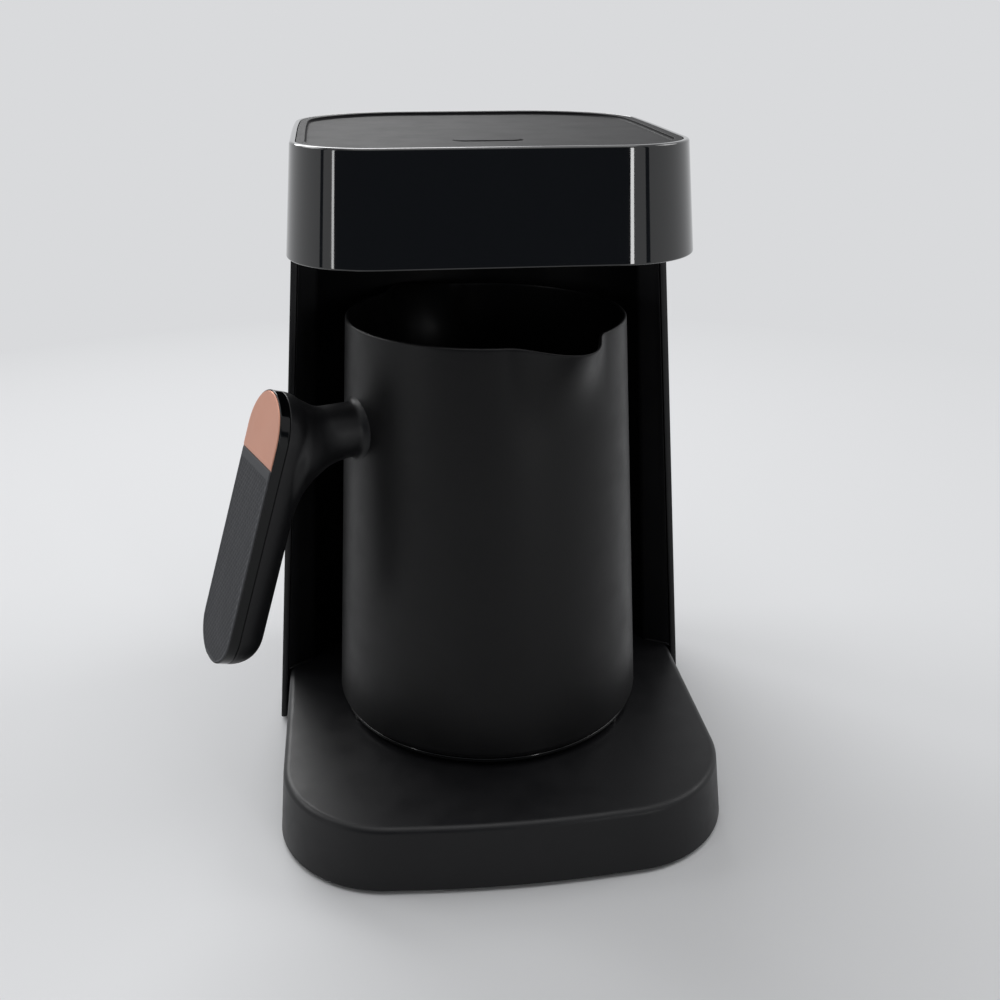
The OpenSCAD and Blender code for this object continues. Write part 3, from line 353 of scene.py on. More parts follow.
# ---------------------------------------------------------------------------------------------
# Implicit surfaces: where a field is zero; it is negative inside and about a distance in mm
# ---------------------------------------------------------------------------------------------


def blend_min(a: Array, b: Array, width: Any) -> Array:
    """Smaller of two fields, rounded where they differ by less than the width.

    With h = max(1 - |a - b| / width, 0), the result is min(a, b) - width h^2 / 4.
    """
    h = np.maximum(1 - np.abs(a - b) / width, 0)
    return np.minimum(a, b) - width * h * h / 4


def gradient(field_of: Callable[[Array], Array], points: Array, step: float = 0.02) -> Array:
    """Slope of a field at points of shape (n, 3), from differences over two steps."""
    shifts = np.eye(3) * step
    return np.stack([(field_of(points + d) - field_of(points - d)) / (2 * step)
                     for d in shifts], axis=-1)


def surface_net(field_of: Callable[[Array], Array], low: Array, high: Array,
                step: float) -> Net:
    """Quadrangles over the zero surface of a field inside a box.

    The field is sampled on a cubic grid. Each cell that the surface crosses gets one point, the
    mean of the crossings on its edges. Each grid edge that changes sign joins the points of its
    four cells. The points are then moved onto the surface along the field's slope.

    Args:
        field_of: Field of points of shape (..., 3).
        low: Lower corner of the box.
        high: Upper corner of the box.
        step: Width of a cell.

    Returns:
        The mesh.
    """
    counts = np.ceil((high - low) / step).astype(int) + 1
    axes = [low[k] + step * np.arange(counts[k]) for k in range(3)]
    spots = np.stack(np.meshgrid(*axes, indexing="ij"), axis=-1)
    value = field_of(spots)
    inside = value < 0
    cells = counts - 1
    total, hits = np.zeros((*cells, 3)), np.zeros(cells)
    crossings = []
    for axis in range(3):
        first = [slice(None)] * 3
        second = [slice(None)] * 3
        first[axis], second[axis] = slice(0, -1), slice(1, None)
        a, b = value[tuple(first)], value[tuple(second)]
        cut = inside[tuple(first)] != inside[tuple(second)]
        crossings.append((cut, inside[tuple(first)]))
        share = np.where(cut, a / np.where(cut, a - b, 1.0), 0.0)
        at = spots[tuple(first)] + 0.0
        at[..., axis] += share * step
        others = [k for k in range(3) if k != axis]
        for i in (0, 1):
            for j in (0, 1):
                view = [slice(None)] * 3
                view[others[0]] = slice(i, i + cells[others[0]])
                view[others[1]] = slice(j, j + cells[others[1]])
                total += np.where(cut[tuple(view)][..., None], at[tuple(view)], 0.0)
                hits += cut[tuple(view)]
    used = hits > 0
    number = np.full(cells, -1)
    number[used] = np.arange(used.sum())
    points = total[used] / hits[used][:, None]
    quads = []
    for axis, (cut, start_inside) in enumerate(crossings):
        b, c = (axis + 1) % 3, (axis + 2) % 3
        where = np.argwhere(cut)
        keep = (where[:, b] > 0) & (where[:, c] > 0) & (where[:, b] < cells[b]) & \
            (where[:, c] < cells[c])
        where = where[keep]
        corners = []
        for db, dc in ((1, 1), (0, 1), (0, 0), (1, 0)):
            cell = where.copy()
            cell[:, b] -= db
            cell[:, c] -= dc
            corners.append(number[tuple(cell.T)])
        ring = np.stack(corners, axis=-1)
        outward = start_inside[tuple(where.T)]
        quads.append(np.where(outward[:, None], ring, ring[:, ::-1]))
    for _ in range(NET_ROUNDS):
        slope = gradient(field_of, points)
        size = np.maximum((slope ** 2).sum(-1, keepdims=True), LEAST_SLOPE)
        move = field_of(points)[:, None] * slope / size
        points = points - np.clip(move, -step / 2, step / 2)
    return Net(points, np.concatenate(quads))


# ---------------------------------------------------------------------------------------------
# Finishes
# ---------------------------------------------------------------------------------------------


def linear(hex_colour: str) -> tuple[float, float, float, float]:
    """Linear colour of an sRGB hex value such as "#1a2b3c"."""
    parts = np.array([int(hex_colour[i:i + 2], 16) for i in (1, 3, 5)]) / 255.0
    values = np.where(parts <= 0.04045, parts / 12.92, ((parts + 0.055) / 1.055) ** 2.4)
    return (*values.tolist(), 1.0)


def blank_material(name: str) -> tuple[bpy.types.Material, bpy.types.NodeTree]:
    """New material and its node tree, which is empty."""
    made = bpy.data.materials.new(name)
    made.use_nodes = True
    made.node_tree.nodes.clear()
    return made, made.node_tree


def add_node(tree: bpy.types.NodeTree, kind: str, settings: Mapping[str, Any] | None = None,
             inputs: Mapping[Any, Any] | None = None) -> bpy.types.Node:
    """Adds a node with its settings, and its inputs as values or as links from other sockets."""
    made = tree.nodes.new(kind)
    for key, value in (settings or {}).items():
        setattr(made, key, value)
    for key, value in (inputs or {}).items():
        if isinstance(value, bpy.types.NodeSocket):
            tree.links.new(value, made.inputs[key])
        else:
            made.inputs[key].default_value = value
    return made


def spread(tree: bpy.types.NodeTree, value: bpy.types.NodeSocket, source: tuple[float, float],
           result: tuple[float, float]) -> bpy.types.NodeSocket:
    """Maps a value from the source range to the result range and clamps it there."""
    made = add_node(tree, "ShaderNodeMapRange", {"clamp": True}, {
        "Value": value, "From Min": source[0], "From Max": source[1],
        "To Min": result[0], "To Max": result[1]})
    return made.outputs["Result"]


class Grain(Enum):
    """How a surface was made, which sets the shape of its fine relief."""

    SPARK_ERODED = "moulded in a spark-eroded tool: small soft pits all over"
    POLISHED = "moulded in a polished tool: smooth, with hair scratches from wiping"
    POWDER = "sprayed and baked: tiny closed bumps"
    BRUSHED = "rolled or drawn: fine parallel lines"
    PLAIN = "plain small part"


@dataclass(frozen=True)
class Finish:
    """One finish: a material with a grain, worn and handled a little.

    Attributes:
        name: Common name of the material and its surface.
        colour: Main colour, sRGB hex.
        roughness: Roughness of the clean surface.
        grain: How the surface was made.
        grain_mm: Size of the grain.
        relief_mm: Depth of the grain.
        tone: How much the colour drifts over the surface, as a share.
        wear: How much handling changes the roughness.
        metallic: 1 for bare metal.
        ior: Index of refraction of the plain surface.
        coat: Weight of a clear coat.
        coat_roughness: Roughness of the clear coat.
        specular: Strength of the mirror part, 0.5 for a plain dielectric.
    """

    name: str
    colour: str
    roughness: float
    grain: Grain = Grain.PLAIN
    grain_mm: float = 0.6
    relief_mm: float = 0.02
    tone: float = 0.06
    wear: float = 0.06
    metallic: float = 0.0
    ior: float = 1.5
    coat: float = 0.0
    coat_roughness: float = 0.05
    specular: float = 0.5

    def material(self) -> bpy.types.Material:
        """The finish as a material, made once."""
        made = bpy.data.materials.get(self.name)
        if made:
            return made
        made, tree = blank_material(self.name)
        place = add_node(tree, "ShaderNodeTexCoord").outputs["Object"]
        shader = add_node(tree, "ShaderNodeBsdfPrincipled", inputs={
            "Metallic": self.metallic, "IOR": self.ior, "Coat Weight": self.coat,
            "Coat Roughness": self.coat_roughness, "Specular IOR Level": self.specular,
            "Base Color": self.tint(tree, place), "Roughness": self.handled(tree, place),
            "Normal": self.relief(tree, place)})
        add_node(tree, "ShaderNodeOutputMaterial", inputs={"Surface": shader.outputs["BSDF"]})
        made.diffuse_color = linear(self.colour)
        return made

    def tint(self, tree: bpy.types.NodeTree, place: bpy.types.NodeSocket) -> bpy.types.NodeSocket:
        """Colour that drifts slowly lighter and darker over patches of about 30 mm."""
        drift = add_node(tree, "ShaderNodeTexNoise", inputs={
            "Vector": place, "Scale": 1.0 / (DRIFT_MM * MM), "Detail": 4.0, "Roughness": 0.55})
        base = np.array(linear(self.colour)[:3])
        dark = (*(base * (1.0 - self.tone)).tolist(), 1.0)
        light = (*np.minimum(base * (1.0 + self.tone), 1.0).tolist(), 1.0)
        blend = add_node(tree, "ShaderNodeMix", {"data_type": "RGBA"}, {
            "Factor": spread(tree, drift.outputs["Fac"], (0.3, 0.7), (0.0, 1.0)),
            6: dark, 7: light})
        return blend.outputs[2]

    def handled(self, tree: bpy.types.NodeTree, place: bpy.types.NodeSocket) -> bpy.types.NodeSocket:
        """Roughness with faint patches of about 12 mm, where hands and cloths touched it."""
        patches = add_node(tree, "ShaderNodeTexNoise", inputs={
            "Vector": place, "Scale": 1.0 / (TOUCH_MM * MM), "Detail": 5.0, "Roughness": 0.6})
        low, high = self.roughness - self.wear / 2, self.roughness + self.wear
        return spread(tree, patches.outputs["Fac"], (0.35, 0.7), (max(low, 0.02), high))

    def relief(self, tree: bpy.types.NodeTree, place: bpy.types.NodeSocket) -> bpy.types.NodeSocket:
        """Fine relief of the grain as a bump of its real depth."""
        if self.grain in (Grain.POLISHED, Grain.BRUSHED):
            stretch = (1.0, 1.0, 0.04) if self.grain is Grain.BRUSHED else (1.0, 0.12, 1.0)
            place = add_node(tree, "ShaderNodeMapping", inputs={
                "Vector": place, "Scale": stretch}).outputs["Vector"]
        if self.grain is Grain.SPARK_ERODED:
            height = add_node(tree, "ShaderNodeTexVoronoi", {"feature": "SMOOTH_F1"}, {
                "Vector": place, "Scale": 1.0 / (self.grain_mm * MM), "Smoothness": 0.8})
            value = height.outputs["Distance"]
        else:
            height = add_node(tree, "ShaderNodeTexNoise", inputs={
                "Vector": place, "Scale": 1.0 / (self.grain_mm * MM), "Detail": 2.0})
            value = height.outputs["Fac"]
        bump = add_node(tree, "ShaderNodeBump", inputs={
            "Strength": 1.0, "Distance": self.relief_mm * MM, "Height": value})
        return bump.outputs["Normal"]


# ABS moulded in a spark-eroded tool: a soft dark sheen with no mirror image.
SATIN_ABS = Finish("satin_black_abs", "#0e0e10", 0.42, Grain.SPARK_ERODED, 0.55, 0.012,
                   specular=0.3)
# ABS moulded in a polished tool: deep black with sharp reflections.
PIANO_ABS = Finish("piano_black_abs", "#050607", 0.05, Grain.POLISHED, 1.6, 0.0006, wear=0.03,
                   coat=0.5, coat_roughness=0.03)
# The same plastic without the last polish, for the small trim.
TRIM_ABS = Finish("gloss_black_abs", "#050607", 0.09, Grain.POLISHED, 1.6, 0.0006, wear=0.04,
                  specular=0.3)
# Smooth satin ABS of the recessed top.
PANEL_ABS = Finish("smooth_satin_abs", "#0f0f11", 0.62, Grain.SPARK_ERODED, 0.4, 0.006,
                   wear=0.03, specular=0.1)
# Matt plastic of hidden plates.
MATT_ABS = Finish("matt_black_abs", "#141415", 0.55, Grain.SPARK_ERODED, 0.6, 0.012)
# Baked coating on steel: matt, with a fine even grain.
POT_COATING = Finish("baked_black_coating", "#0f0f10", 0.40, Grain.POWDER, 0.45, 0.03, wear=0.05,
                     specular=0.2)
# Grey thermoplastic rubber: dull, grips the light in its relief.
GREY_RUBBER = Finish("grey_moulded_rubber", "#4b4c4f", 0.75, Grain.POWDER, 0.25, 0.02, tone=0.04,
                     specular=0.25)
FOOT_RUBBER = Finish("black_rubber", "#101011", 0.75, Grain.POWDER, 0.5, 0.02)
# Satin anodised aluminium in a copper tone.
COPPER = Finish("copper_anodised_aluminium", "#d09983", 0.45, Grain.POWDER, 0.3, 0.008,
                tone=0.03, metallic=0.55)
STEEL = Finish("zinc_plated_steel", "#b9bcc0", 0.32, Grain.BRUSHED, 0.3, 0.004, metallic=1.0)
CAST_ALUMINIUM = Finish("cast_aluminium", "#b4b6b8", 0.5, Grain.POWDER, 0.8, 0.03, metallic=1.0)
BRASS = Finish("turned_brass", "#c9a04e", 0.28, Grain.BRUSHED, 0.3, 0.004, metallic=1.0)
LAMINATE = Finish("green_glass_laminate", "#1d4a30", 0.35, Grain.BRUSHED, 0.6, 0.006)
GREY_NYLON = Finish("grey_nylon", "#77797c", 0.5, Grain.SPARK_ERODED, 0.6, 0.01)

NODE_FINISHES: dict[Finish, tuple[str, ...]] = {
    MATT_ABS: ("base_cover", "connector_hub", "cord_gland", "underside_plate", "sensor_holder",
               "button_switch", "buzzer", "pot_base_cover", "pot_connector"),
    FOOT_RUBBER: ("rubber_feet",),
    STEEL: ("cover_screws", "column_screws", "board_screws", "head_screws",
            "pot_studs", "pot_screws", "heating_element", "thermal_cutout",
            "handle_bracket", "handle_screw"),
    BRASS: ("contact_pins", "contact_rings"),
    LAMINATE: ("power_board", "control_board"),
    GREY_NYLON: ("hub_plug", "power_relay", "power_supply", "terminal_block", "control_loom",
                 "hub_loom"),
    CAST_ALUMINIUM: ("heater_disc",),
    PIANO_ABS: ("sensor_window",),
}


def dress_nodes() -> None:
    """Gives each of the part's own nodes that stays in view its finish."""
    for finish, names in NODE_FINISHES.items():
        for name in names:
            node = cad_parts[name]
            node.data.materials.clear()
            node.data.materials.append(finish.material())
            log.info("node %s: %s", name, finish.name)


# ---------------------------------------------------------------------------------------------
# Housing
# ---------------------------------------------------------------------------------------------


@dataclass(frozen=True)
class Housing:
    """Sizes that column, base and head share, and their plans at any height and inset."""

    machine_h: float = 245.0
    head_h: float = 36.6
    skin_foot_hw: float = 88.2
    skin_top_hw: float = 69.0
    skin_foot_rear: float = 106.0
    skin_top_rear: float = 100.0
    skin_foot_front: float = 20.3
    skin_top_front: float = 12.9
    skin_corner: float = 43.0
    skin_t: float = 2.5
    head_top_hw: float = 65.2
    head_bulge: float = 1.8
    head_front: float = 51.2
    head_front_lean: float = 3.2
    head_rear_lean: float = 1.0
    head_front_corner: float = 31.0
    base_h: float = 25.8
    base_corner: float = 42.0
    base_front: float = 87.6
    base_bow: float = 6.9
    base_lean: float = 2.8
    base_waist: float = 1.7
    bow_r: float = 400.0
    foot_gap: float = 1.5
    fit: float = 0.3
    seat: float = 0.05
    niche_foot_hw: float = 72.4
    jamb_set: float = 6.0
    jamb_step: float = 0.8
    button_front: float = 9.5
    corner_steps: int = 28
    side_steps: int = 6
    hold: float = 1.2

    @property
    def head_z(self) -> float:
        """Height of the head's lower edge."""
        return self.machine_h - self.head_h

    def share(self, z: Array) -> Array:
        """Height as a share of the column's."""
        return z / self.head_z

    def skin_hw(self, z: Array) -> Array:
        """Half width of the outer skin."""
        return mix(self.skin_foot_hw, self.skin_top_hw, self.share(z))

    def skin_rear(self, z: Array) -> Array:
        """Depth of the outer skin's rear face."""
        return mix(self.skin_foot_rear, self.skin_top_rear, self.share(z))

    def skin_front(self, z: Array) -> Array:
        """Front edge of the outer skin."""
        return mix(self.skin_foot_front, self.skin_top_front, self.share(z))

    def loop(self, corners: Sequence[Sequence[Array]], closed: bool = True) -> Array:
        """Rounded plan; each corner is x, y and radius, as arrays over the profile."""
        stacked = [np.stack(np.broadcast_arrays(*c), axis=-1) for c in corners]
        return rounded(stacked, self.corner_steps, self.side_steps, self.hold, closed)

    def skin_plan(self, z: Array, inset: Array) -> Array:
        """U-shaped path from the right front edge round the rear to the left one."""
        hw, rear = self.skin_hw(z) - inset, self.skin_rear(z) - inset
        front, r = self.skin_front(z), self.skin_corner - inset
        return self.loop([(hw, front, 0 * z), (hw, rear, r), (-hw, rear, r), (-hw, front, 0 * z)],
                         closed=False)

    def base_plan(self, z: Array, inset: Array) -> Array:
        """Straight sides that narrow towards the front, round corners and a bowed front."""
        w = self.skin_hw(z) - self.skin_t - self.fit - inset
        wf = w - self.base_waist
        rear = self.skin_rear(z) - self.skin_t - self.fit - inset
        front = inset - self.base_front - self.base_lean * (1 - z / self.base_h)
        rear_r, front_r = self.skin_corner - self.skin_t - inset, self.base_corner - inset
        return self.loop([(-w, rear, rear_r), (-wf, front, front_r),
                          (0 * z, front - self.base_bow, self.bow_r + 0 * z),
                          (wf, front, front_r), (w, rear, rear_r)])

    def head_plan(self, z: Array, inset: Array) -> Array:
        """Rounded rectangle that leans in towards the top, where its sides bulge.

        At height share t and share s of the way back, the bulge is t b 27/4 s^2 (1 - s), which
        is widest two thirds back. It widens the plan in proportion to the half width.
        """
        t = (z - self.head_z) / self.head_h
        hw = mix(self.skin_top_hw, self.head_top_hw, t) - inset
        front = inset - self.head_front + t * self.head_front_lean
        rear = self.skin_top_rear - t * self.head_rear_lean - inset
        front_r = self.head_front_corner - t * self.head_front_lean - inset
        rear_r = self.skin_corner - t * self.head_rear_lean - inset
        plan = self.loop([(-hw, rear, rear_r), (-hw, front, front_r), (hw, front, front_r),
                          (hw, rear, rear_r)])
        back = np.clip((plan[..., 1] - front) / (rear - front), 0.0, 1.0)
        bulge = t * self.head_bulge * BULGE_SCALE * back ** 2 * (1 - back)
        return plan * np.stack([1 + bulge / hw, np.ones_like(bulge)], axis=-1)


HOUSING = Housing()


def wall_along(path: Array, z: Array, mid: Array, nose: float) -> Grid:
    """Closed wall along a path, whose two ends are rounded by drawing the wall together.

    At a distance d before an end the wall keeps the share (1 - (1 - d / nose)^4)^(1/4) of its
    thickness, so that its end has rounded edges.

    Args:
        path: Wall's cross-section at each station, shape (stations, profile, 2).
        z: Heights of the cross-section's points, shape (profile,).
        mid: Middle of the wall at each station, same shape as the path.
        nose: Length of the rounded stretch at each end.

    Returns:
        The closed grid.
    """
    keep = (1 - (1 - NOSE_SHARES) ** 4) ** 0.25

    def end(first: Array, second: Array, middle: Array) -> Array:
        """Stations of one end, from its tip to the full wall."""
        run = unit((second - first).mean(0))
        shift = run[None, None, :] * (NOSE_SHARES[:, None, None] * nose)
        return middle[None] + (first - middle)[None] * keep[:, None, None] + shift

    start = end(path[0], path[1], mid[0])
    finish = end(path[-1], path[-2], mid[-1])[::-1]
    plan = np.concatenate([start, path[1:-1], finish])
    return Grid(raised(plan, z), wrap_columns=True)


@dataclass
class Column:
    """Outer skin and niche liner between the base and the head."""

    house: Housing = HOUSING
    niche_top_hw: float = 59.5
    niche_foot_rear: float = 76.0
    niche_top_rear: float = 64.0
    niche_t: float = 2.0
    underside_lift: float = 1.5
    edge: float = 0.5
    mouth_r: float = 1.4
    niche_steps: int = 96

    def skin(self) -> Grid:
        """U-shaped skin: its closed cross-section carried along the plan of the column."""
        h = self.house
        top = h.head_z - h.fit
        inset, z = profile([(0, h.foot_gap, self.edge), (h.skin_t, h.foot_gap, self.edge),
                            (h.skin_t, top, self.edge), (0, top, self.edge)], arc_steps=4)
        path = h.skin_plan(z, inset)
        mid = h.skin_plan(z, np.full_like(inset, h.skin_t / 2))
        return wall_along(path, z, mid, self.edge)

    def niche_plan(self, z: Array, offset: Array) -> Array:
        """Jamb, concave niche and the other jamb, set back by an offset.

        The niche is an arc through both edges of its mouth and the middle of its rear wall: its
        radius is (half width squared plus depth squared) over twice the depth. Each mouth edge
        is rounded by a parabola between a point on the jamb and one on the arc.
        """
        h = self.house
        t = (z - h.base_h) / (h.head_z - h.base_h)
        hw = mix(h.niche_foot_hw, self.niche_top_hw, t)
        rear = mix(self.niche_foot_rear, self.niche_top_rear, t)
        front = h.skin_front(z) + h.jamb_step
        sag = rear - front - h.jamb_set
        r = (hw ** 2 + sag ** 2) / (2 * sag)
        centre = np.stack([0 * r, rear - r], axis=-1)
        start = np.degrees(np.arcsin((front + h.jamb_set - centre[:, 1]) / r))
        skip = np.degrees(self.mouth_r / r)
        outer = np.stack([h.skin_hw(z) - h.skin_t - 2 * h.seat, front + offset], axis=-1)
        bow = arc(centre, r + offset, start + skip, 180 - start - skip, self.niche_steps)
        mouth = arc(centre, r + offset, start, start, 1)[0]
        before = mouth + unit(outer - mouth) * self.mouth_r
        u = np.linspace(0, 1, 7)[:, None, None]
        soft = before * (1 - u) ** 2 + 2 * mouth * u * (1 - u) + bow[0] * u ** 2
        jamb = side(outer, before, 0.6, 3)
        right = np.concatenate([outer[None], jamb, soft])
        left = right[::-1] * np.array([-1.0, 1.0])
        return np.concatenate([right, bow[1:-1], left])

    def niche(self) -> Grid:
        """Niche liner: its closed cross-section carried along jambs and niche."""
        h = self.house
        z0, z1 = h.base_h + h.seat, h.head_z + self.underside_lift - h.seat
        offset, z = profile([(0, z0, 0), (self.niche_t, z0, 0), (self.niche_t, z1, 0),
                             (0, z1, 0)])
        path = self.niche_plan(z, offset)
        mid = self.niche_plan(z, np.full_like(offset, self.niche_t / 2))
        return wall_along(path, z, mid, self.edge)

    def build(self) -> None:
        """Adds the skin and the niche liner."""
        add_piece("column_skin", [self.skin()], SATIN_ABS, "machine",
                  ["outer_skin"])
        add_piece("column_niche", [self.niche()], SATIN_ABS, "machine",
                  ["niche_shell"])


@dataclass
class Base:
    """Base moulding with its soft top edge, the hub's hole and the two kerbs."""

    house: Housing = HOUSING
    wall: float = 2.5
    edge: float = 2.2
    foot_edge: float = 0.5
    hub_hole_r: float = 14.3
    hole_edge: float = 0.4
    kerb_h: float = 1.1
    kerb_w: float = 1.2
    kerb_round: float = 0.6
    kerb_taper: float = 24.0
    kerb_steps: int = 13

    def shell(self) -> Grid:
        """Wall, soft edge, flat top drawn in to the hub's hole, ceiling and inner wall."""
        h = self.house
        ceiling = h.base_h - self.wall
        inset, z = profile([(self.wall, ceiling, 0), (self.wall, h.foot_gap, self.foot_edge),
                            (0, h.foot_gap, self.foot_edge), (0, h.base_h, self.edge),
                            (2 * self.edge, h.base_h, 0)], closed=False, arc_steps=10)
        wall = raised(h.base_plan(z, inset), z).transpose(1, 0, 2)
        e, r = self.hole_edge, self.hub_hole_r
        rim = [polar_ring(wall[-1], r + e * (1 - math.sin(a)), h.base_h - e * (1 - math.cos(a)))
               for a in np.linspace(0, math.pi / 2, 5)]
        foot = polar_ring(wall[-1], r, ceiling)
        top = between(wall[-1], rim[0], 12)
        under = between(foot, wall[0], 3)
        return Grid(np.concatenate([wall, top, np.array(rim), foot[None], under]),
                    wrap_rows=True)

    def kerb(self, hand: int) -> Grid:
        """Low ridge on the base along one jamb, with a round back: half an ellipse across."""
        h = self.house
        z = h.base_h
        front = h.skin_front(z) + h.jamb_step
        outer = np.array([h.skin_hw(z) - h.skin_t - 2 * h.seat - h.fit, front])
        inner = np.array([h.niche_foot_hw, front + h.jamb_set])
        along = np.linspace(0, 1, self.kerb_steps)
        run = mix(outer, inner, along[:, None])
        angle = np.radians(np.linspace(0, 180, self.kerb_steps))
        taper = np.clip(np.minimum(along, 1 - along) * self.kerb_taper, 0.02, 1.0) ** 0.5
        across = self.kerb_w * (0.5 - 0.5 * np.cos(angle))[None, :] * \
            np.ones_like(taper)[:, None]
        rise = self.kerb_h * np.sin(angle)[None, :] ** self.kerb_round * taper[:, None]
        y = run[:, None, 1] - across
        x = np.broadcast_to(run[:, None, 0], y.shape)
        top = np.stack([hand * x, y, z - h.seat + rise], axis=-1)
        return Grid(top, wrap_columns=True, caps=True)

    def build(self) -> None:
        """Adds the base shell with its kerbs."""
        add_piece("base_moulding", [self.shell(), self.kerb(1), self.kerb(-1)], SATIN_ABS,
                  "machine", ["base_shell"])


@dataclass
class Head:
    """Glossy band, recessed top panel and the start button."""

    house: Housing = HOUSING
    band_t: float = 1.9
    band_round: float = 0.8
    foot_round: float = 0.6
    band_inner_round: float = 0.25
    band_inner_foot: float = 0.3
    ledge_w: float = 1.5
    ledge_h: float = 2.0
    panel_gap: float = 0.2
    panel_rim_w: float = 2.9
    panel_drop: float = 1.5
    panel_t: float = 2.4
    panel_low: float = 0.1
    panel_foot_w: float = 2.0
    panel_foot_edge: float = 0.3
    panel_outer_edge: float = 0.25
    panel_inner_edge: float = 0.3
    panel_fillet: float = 0.8
    hole_edge: float = 0.3
    dish_w: float = 12.0
    dish_h: float = 0.3
    dish_shares: tuple[float, ...] = (0.15, 0.3, 0.45, 0.6, 0.8, 1.0)
    button_l: float = 23.4
    button_w: float = 9.0
    button_gap: float = 0.3
    button_proud: float = 0.3
    button_edge: float = 0.7
    button_hold: float = 0.3
    flange_t: float = 1.4
    flange_w: float = 0.8
    stem_r: float = 2.2
    stem_z: float = 236.1

    def band(self) -> Grid:
        """Band: closed cross-section with round edges, carried round the head's plan."""
        h = self.house
        top, foot = h.machine_h, h.head_z
        ledge = top - self.panel_drop - self.panel_t - h.seat
        deep = self.band_t + self.ledge_w
        inset, z = profile([
            (0, foot, self.foot_round), (0, top, self.band_round),
            (self.band_t, top, self.band_inner_round), (self.band_t, ledge, 0), (deep, ledge, 0),
            (deep, ledge - self.ledge_h, 0), (self.band_t, ledge - self.ledge_h, 0),
            (self.band_t, foot, self.band_inner_foot)], arc_steps=8)
        return Grid(raised(h.head_plan(z, inset), z), wrap_rows=True)

    def pill(self, width: float, length: float, count: int = 160) -> Array:
        """Outline of a pill: two half circles joined by straight sides, evenly spaced."""
        r, run = width / 2, (length - width) / 2
        total = 2 * math.pi * r + 4 * run
        s = (np.arange(count) + 0.5) / count * total
        bend = math.pi * r
        angle = np.where(s < bend, s / r, np.where(s < bend + 2 * run, math.pi,
                         np.where(s < 2 * bend + 2 * run, (s - 2 * run) / r, 2 * math.pi)))
        shift = np.where(s < bend, run, np.where(s < bend + 2 * run, run - (s - bend),
                         np.where(s < 2 * bend + 2 * run, -run, s - 2 * bend - 3 * run)))
        return np.stack([shift + r * np.sin(angle), -r * np.cos(angle)], axis=-1)

    def pill_ring(self, outline: Array, width: float, length: float, z: float) -> Array:
        """Pill round the button's place, its points in the directions of an outline's.

        In a direction (c, s) from the middle, the edge lies where the straight side is met, at
        half the width over |s|, or on the end's circle: run |c| + sqrt(r squared - (run s)^2).
        """
        r, run = width / 2, (length - width) / 2
        middle = np.array([0.0, self.house.button_front])
        ray = unit(outline[:, :2] + middle)
        c, s = np.abs(ray[:, 0]), np.abs(ray[:, 1])
        straight = r / np.maximum(s, 1e-9)
        bend = run * c + np.sqrt(np.maximum(r ** 2 - (run * s) ** 2, 0.0))
        reach = np.where(straight * c <= run, straight, bend)
        return level(ray * reach[:, None] - middle, z)

    def panel(self) -> Grid:
        """Top panel: raised rim, dished floor drawn in to the button's hole, underside.

        At share s of the dish's width inwards from the rim, the floor lies h (1 - s)^2 above its
        flat middle.
        """
        h = self.house
        floor, top = h.machine_h - self.panel_drop, h.machine_h - self.panel_low
        foot = floor - self.panel_t
        a, b = self.band_t + self.panel_gap, self.band_t + self.panel_gap + self.panel_rim_w
        dish = [(b + s * self.dish_w, floor + self.dish_h * (1 - s) ** 2, 0)
                for s in self.dish_shares]
        inset, z = profile([
            (a + self.panel_foot_w, foot, 0), (a, foot, self.panel_foot_edge),
            (a, top, self.panel_outer_edge), (b, top, self.panel_inner_edge),
            (b, floor + self.dish_h, self.panel_fillet), *dish], closed=False, arc_steps=8)
        rim = raised(h.head_plan(z, inset), z).transpose(1, 0, 2)
        width, length = self.button_w + 2 * self.button_gap, self.button_l + 2 * self.button_gap
        e = self.hole_edge
        hole = [self.pill_ring(rim[-1], width + 2 * e * (1 - math.sin(t)),
                               length + 2 * e * (1 - math.sin(t)), floor - e * (1 - math.cos(t)))
                for t in np.linspace(0, math.pi / 2, 5)]
        under = self.pill_ring(rim[-1], width, length, foot)
        return Grid(np.concatenate([rim, between(rim[-1], hole[0], 8), np.array(hole),
                                    under[None], between(under, rim[0], 3)]), wrap_rows=True)

    def button(self) -> Grid:
        """Start button: stem, flange and a softly edged cap that closes on its middle line."""
        h = self.house
        flange_top = h.machine_h - self.panel_drop - self.panel_t - h.seat
        cap = h.machine_h - self.panel_drop + self.button_proud
        outline = self.pill(self.button_w, self.button_l)
        spot = np.array([0.0, -h.button_front])

        def ring(width: float, z: float) -> Array:
            """Pill of that width, with the same straight length, at height z."""
            return level(self.pill(width, self.button_l - self.button_w + width) + spot, z)

        def circle(radius: float, z: float) -> Array:
            """Circle on the button's axis at height z."""
            return polar_ring(outline, radius, z) + np.append(spot, 0.0)

        w, wide, e = self.button_w, self.button_w + 2 * self.flange_w, self.button_edge
        rows = [circle(0.0, self.stem_z), circle(self.stem_r, self.stem_z),
                circle(self.stem_r, flange_top - self.flange_t),
                ring(wide, flange_top - self.flange_t), ring(wide, flange_top),
                ring(w, flange_top), ring(w, cap - e - self.button_hold)]
        rows += [ring(w - 2 * e * (1 - math.cos(t)), cap - e + e * math.sin(t))
                 for t in np.linspace(0, math.pi / 2, 7)]
        rows += [ring(w * s, cap) for s in (0.75, 0.5, 0.25, 0.0)]
        return Grid(np.array(rows))

    def build(self) -> None:
        """Adds the band, the top panel and the button."""
        add_piece("head_gloss_band", [self.band()], PIANO_ABS, "machine",
                  ["head_band"])
        add_piece("head_top_panel", [self.panel()], PANEL_ABS, "machine",
                  ["top_panel"])
        add_piece("button_cap", [self.button()], PANEL_ABS, "button",
                  ["start_button"])


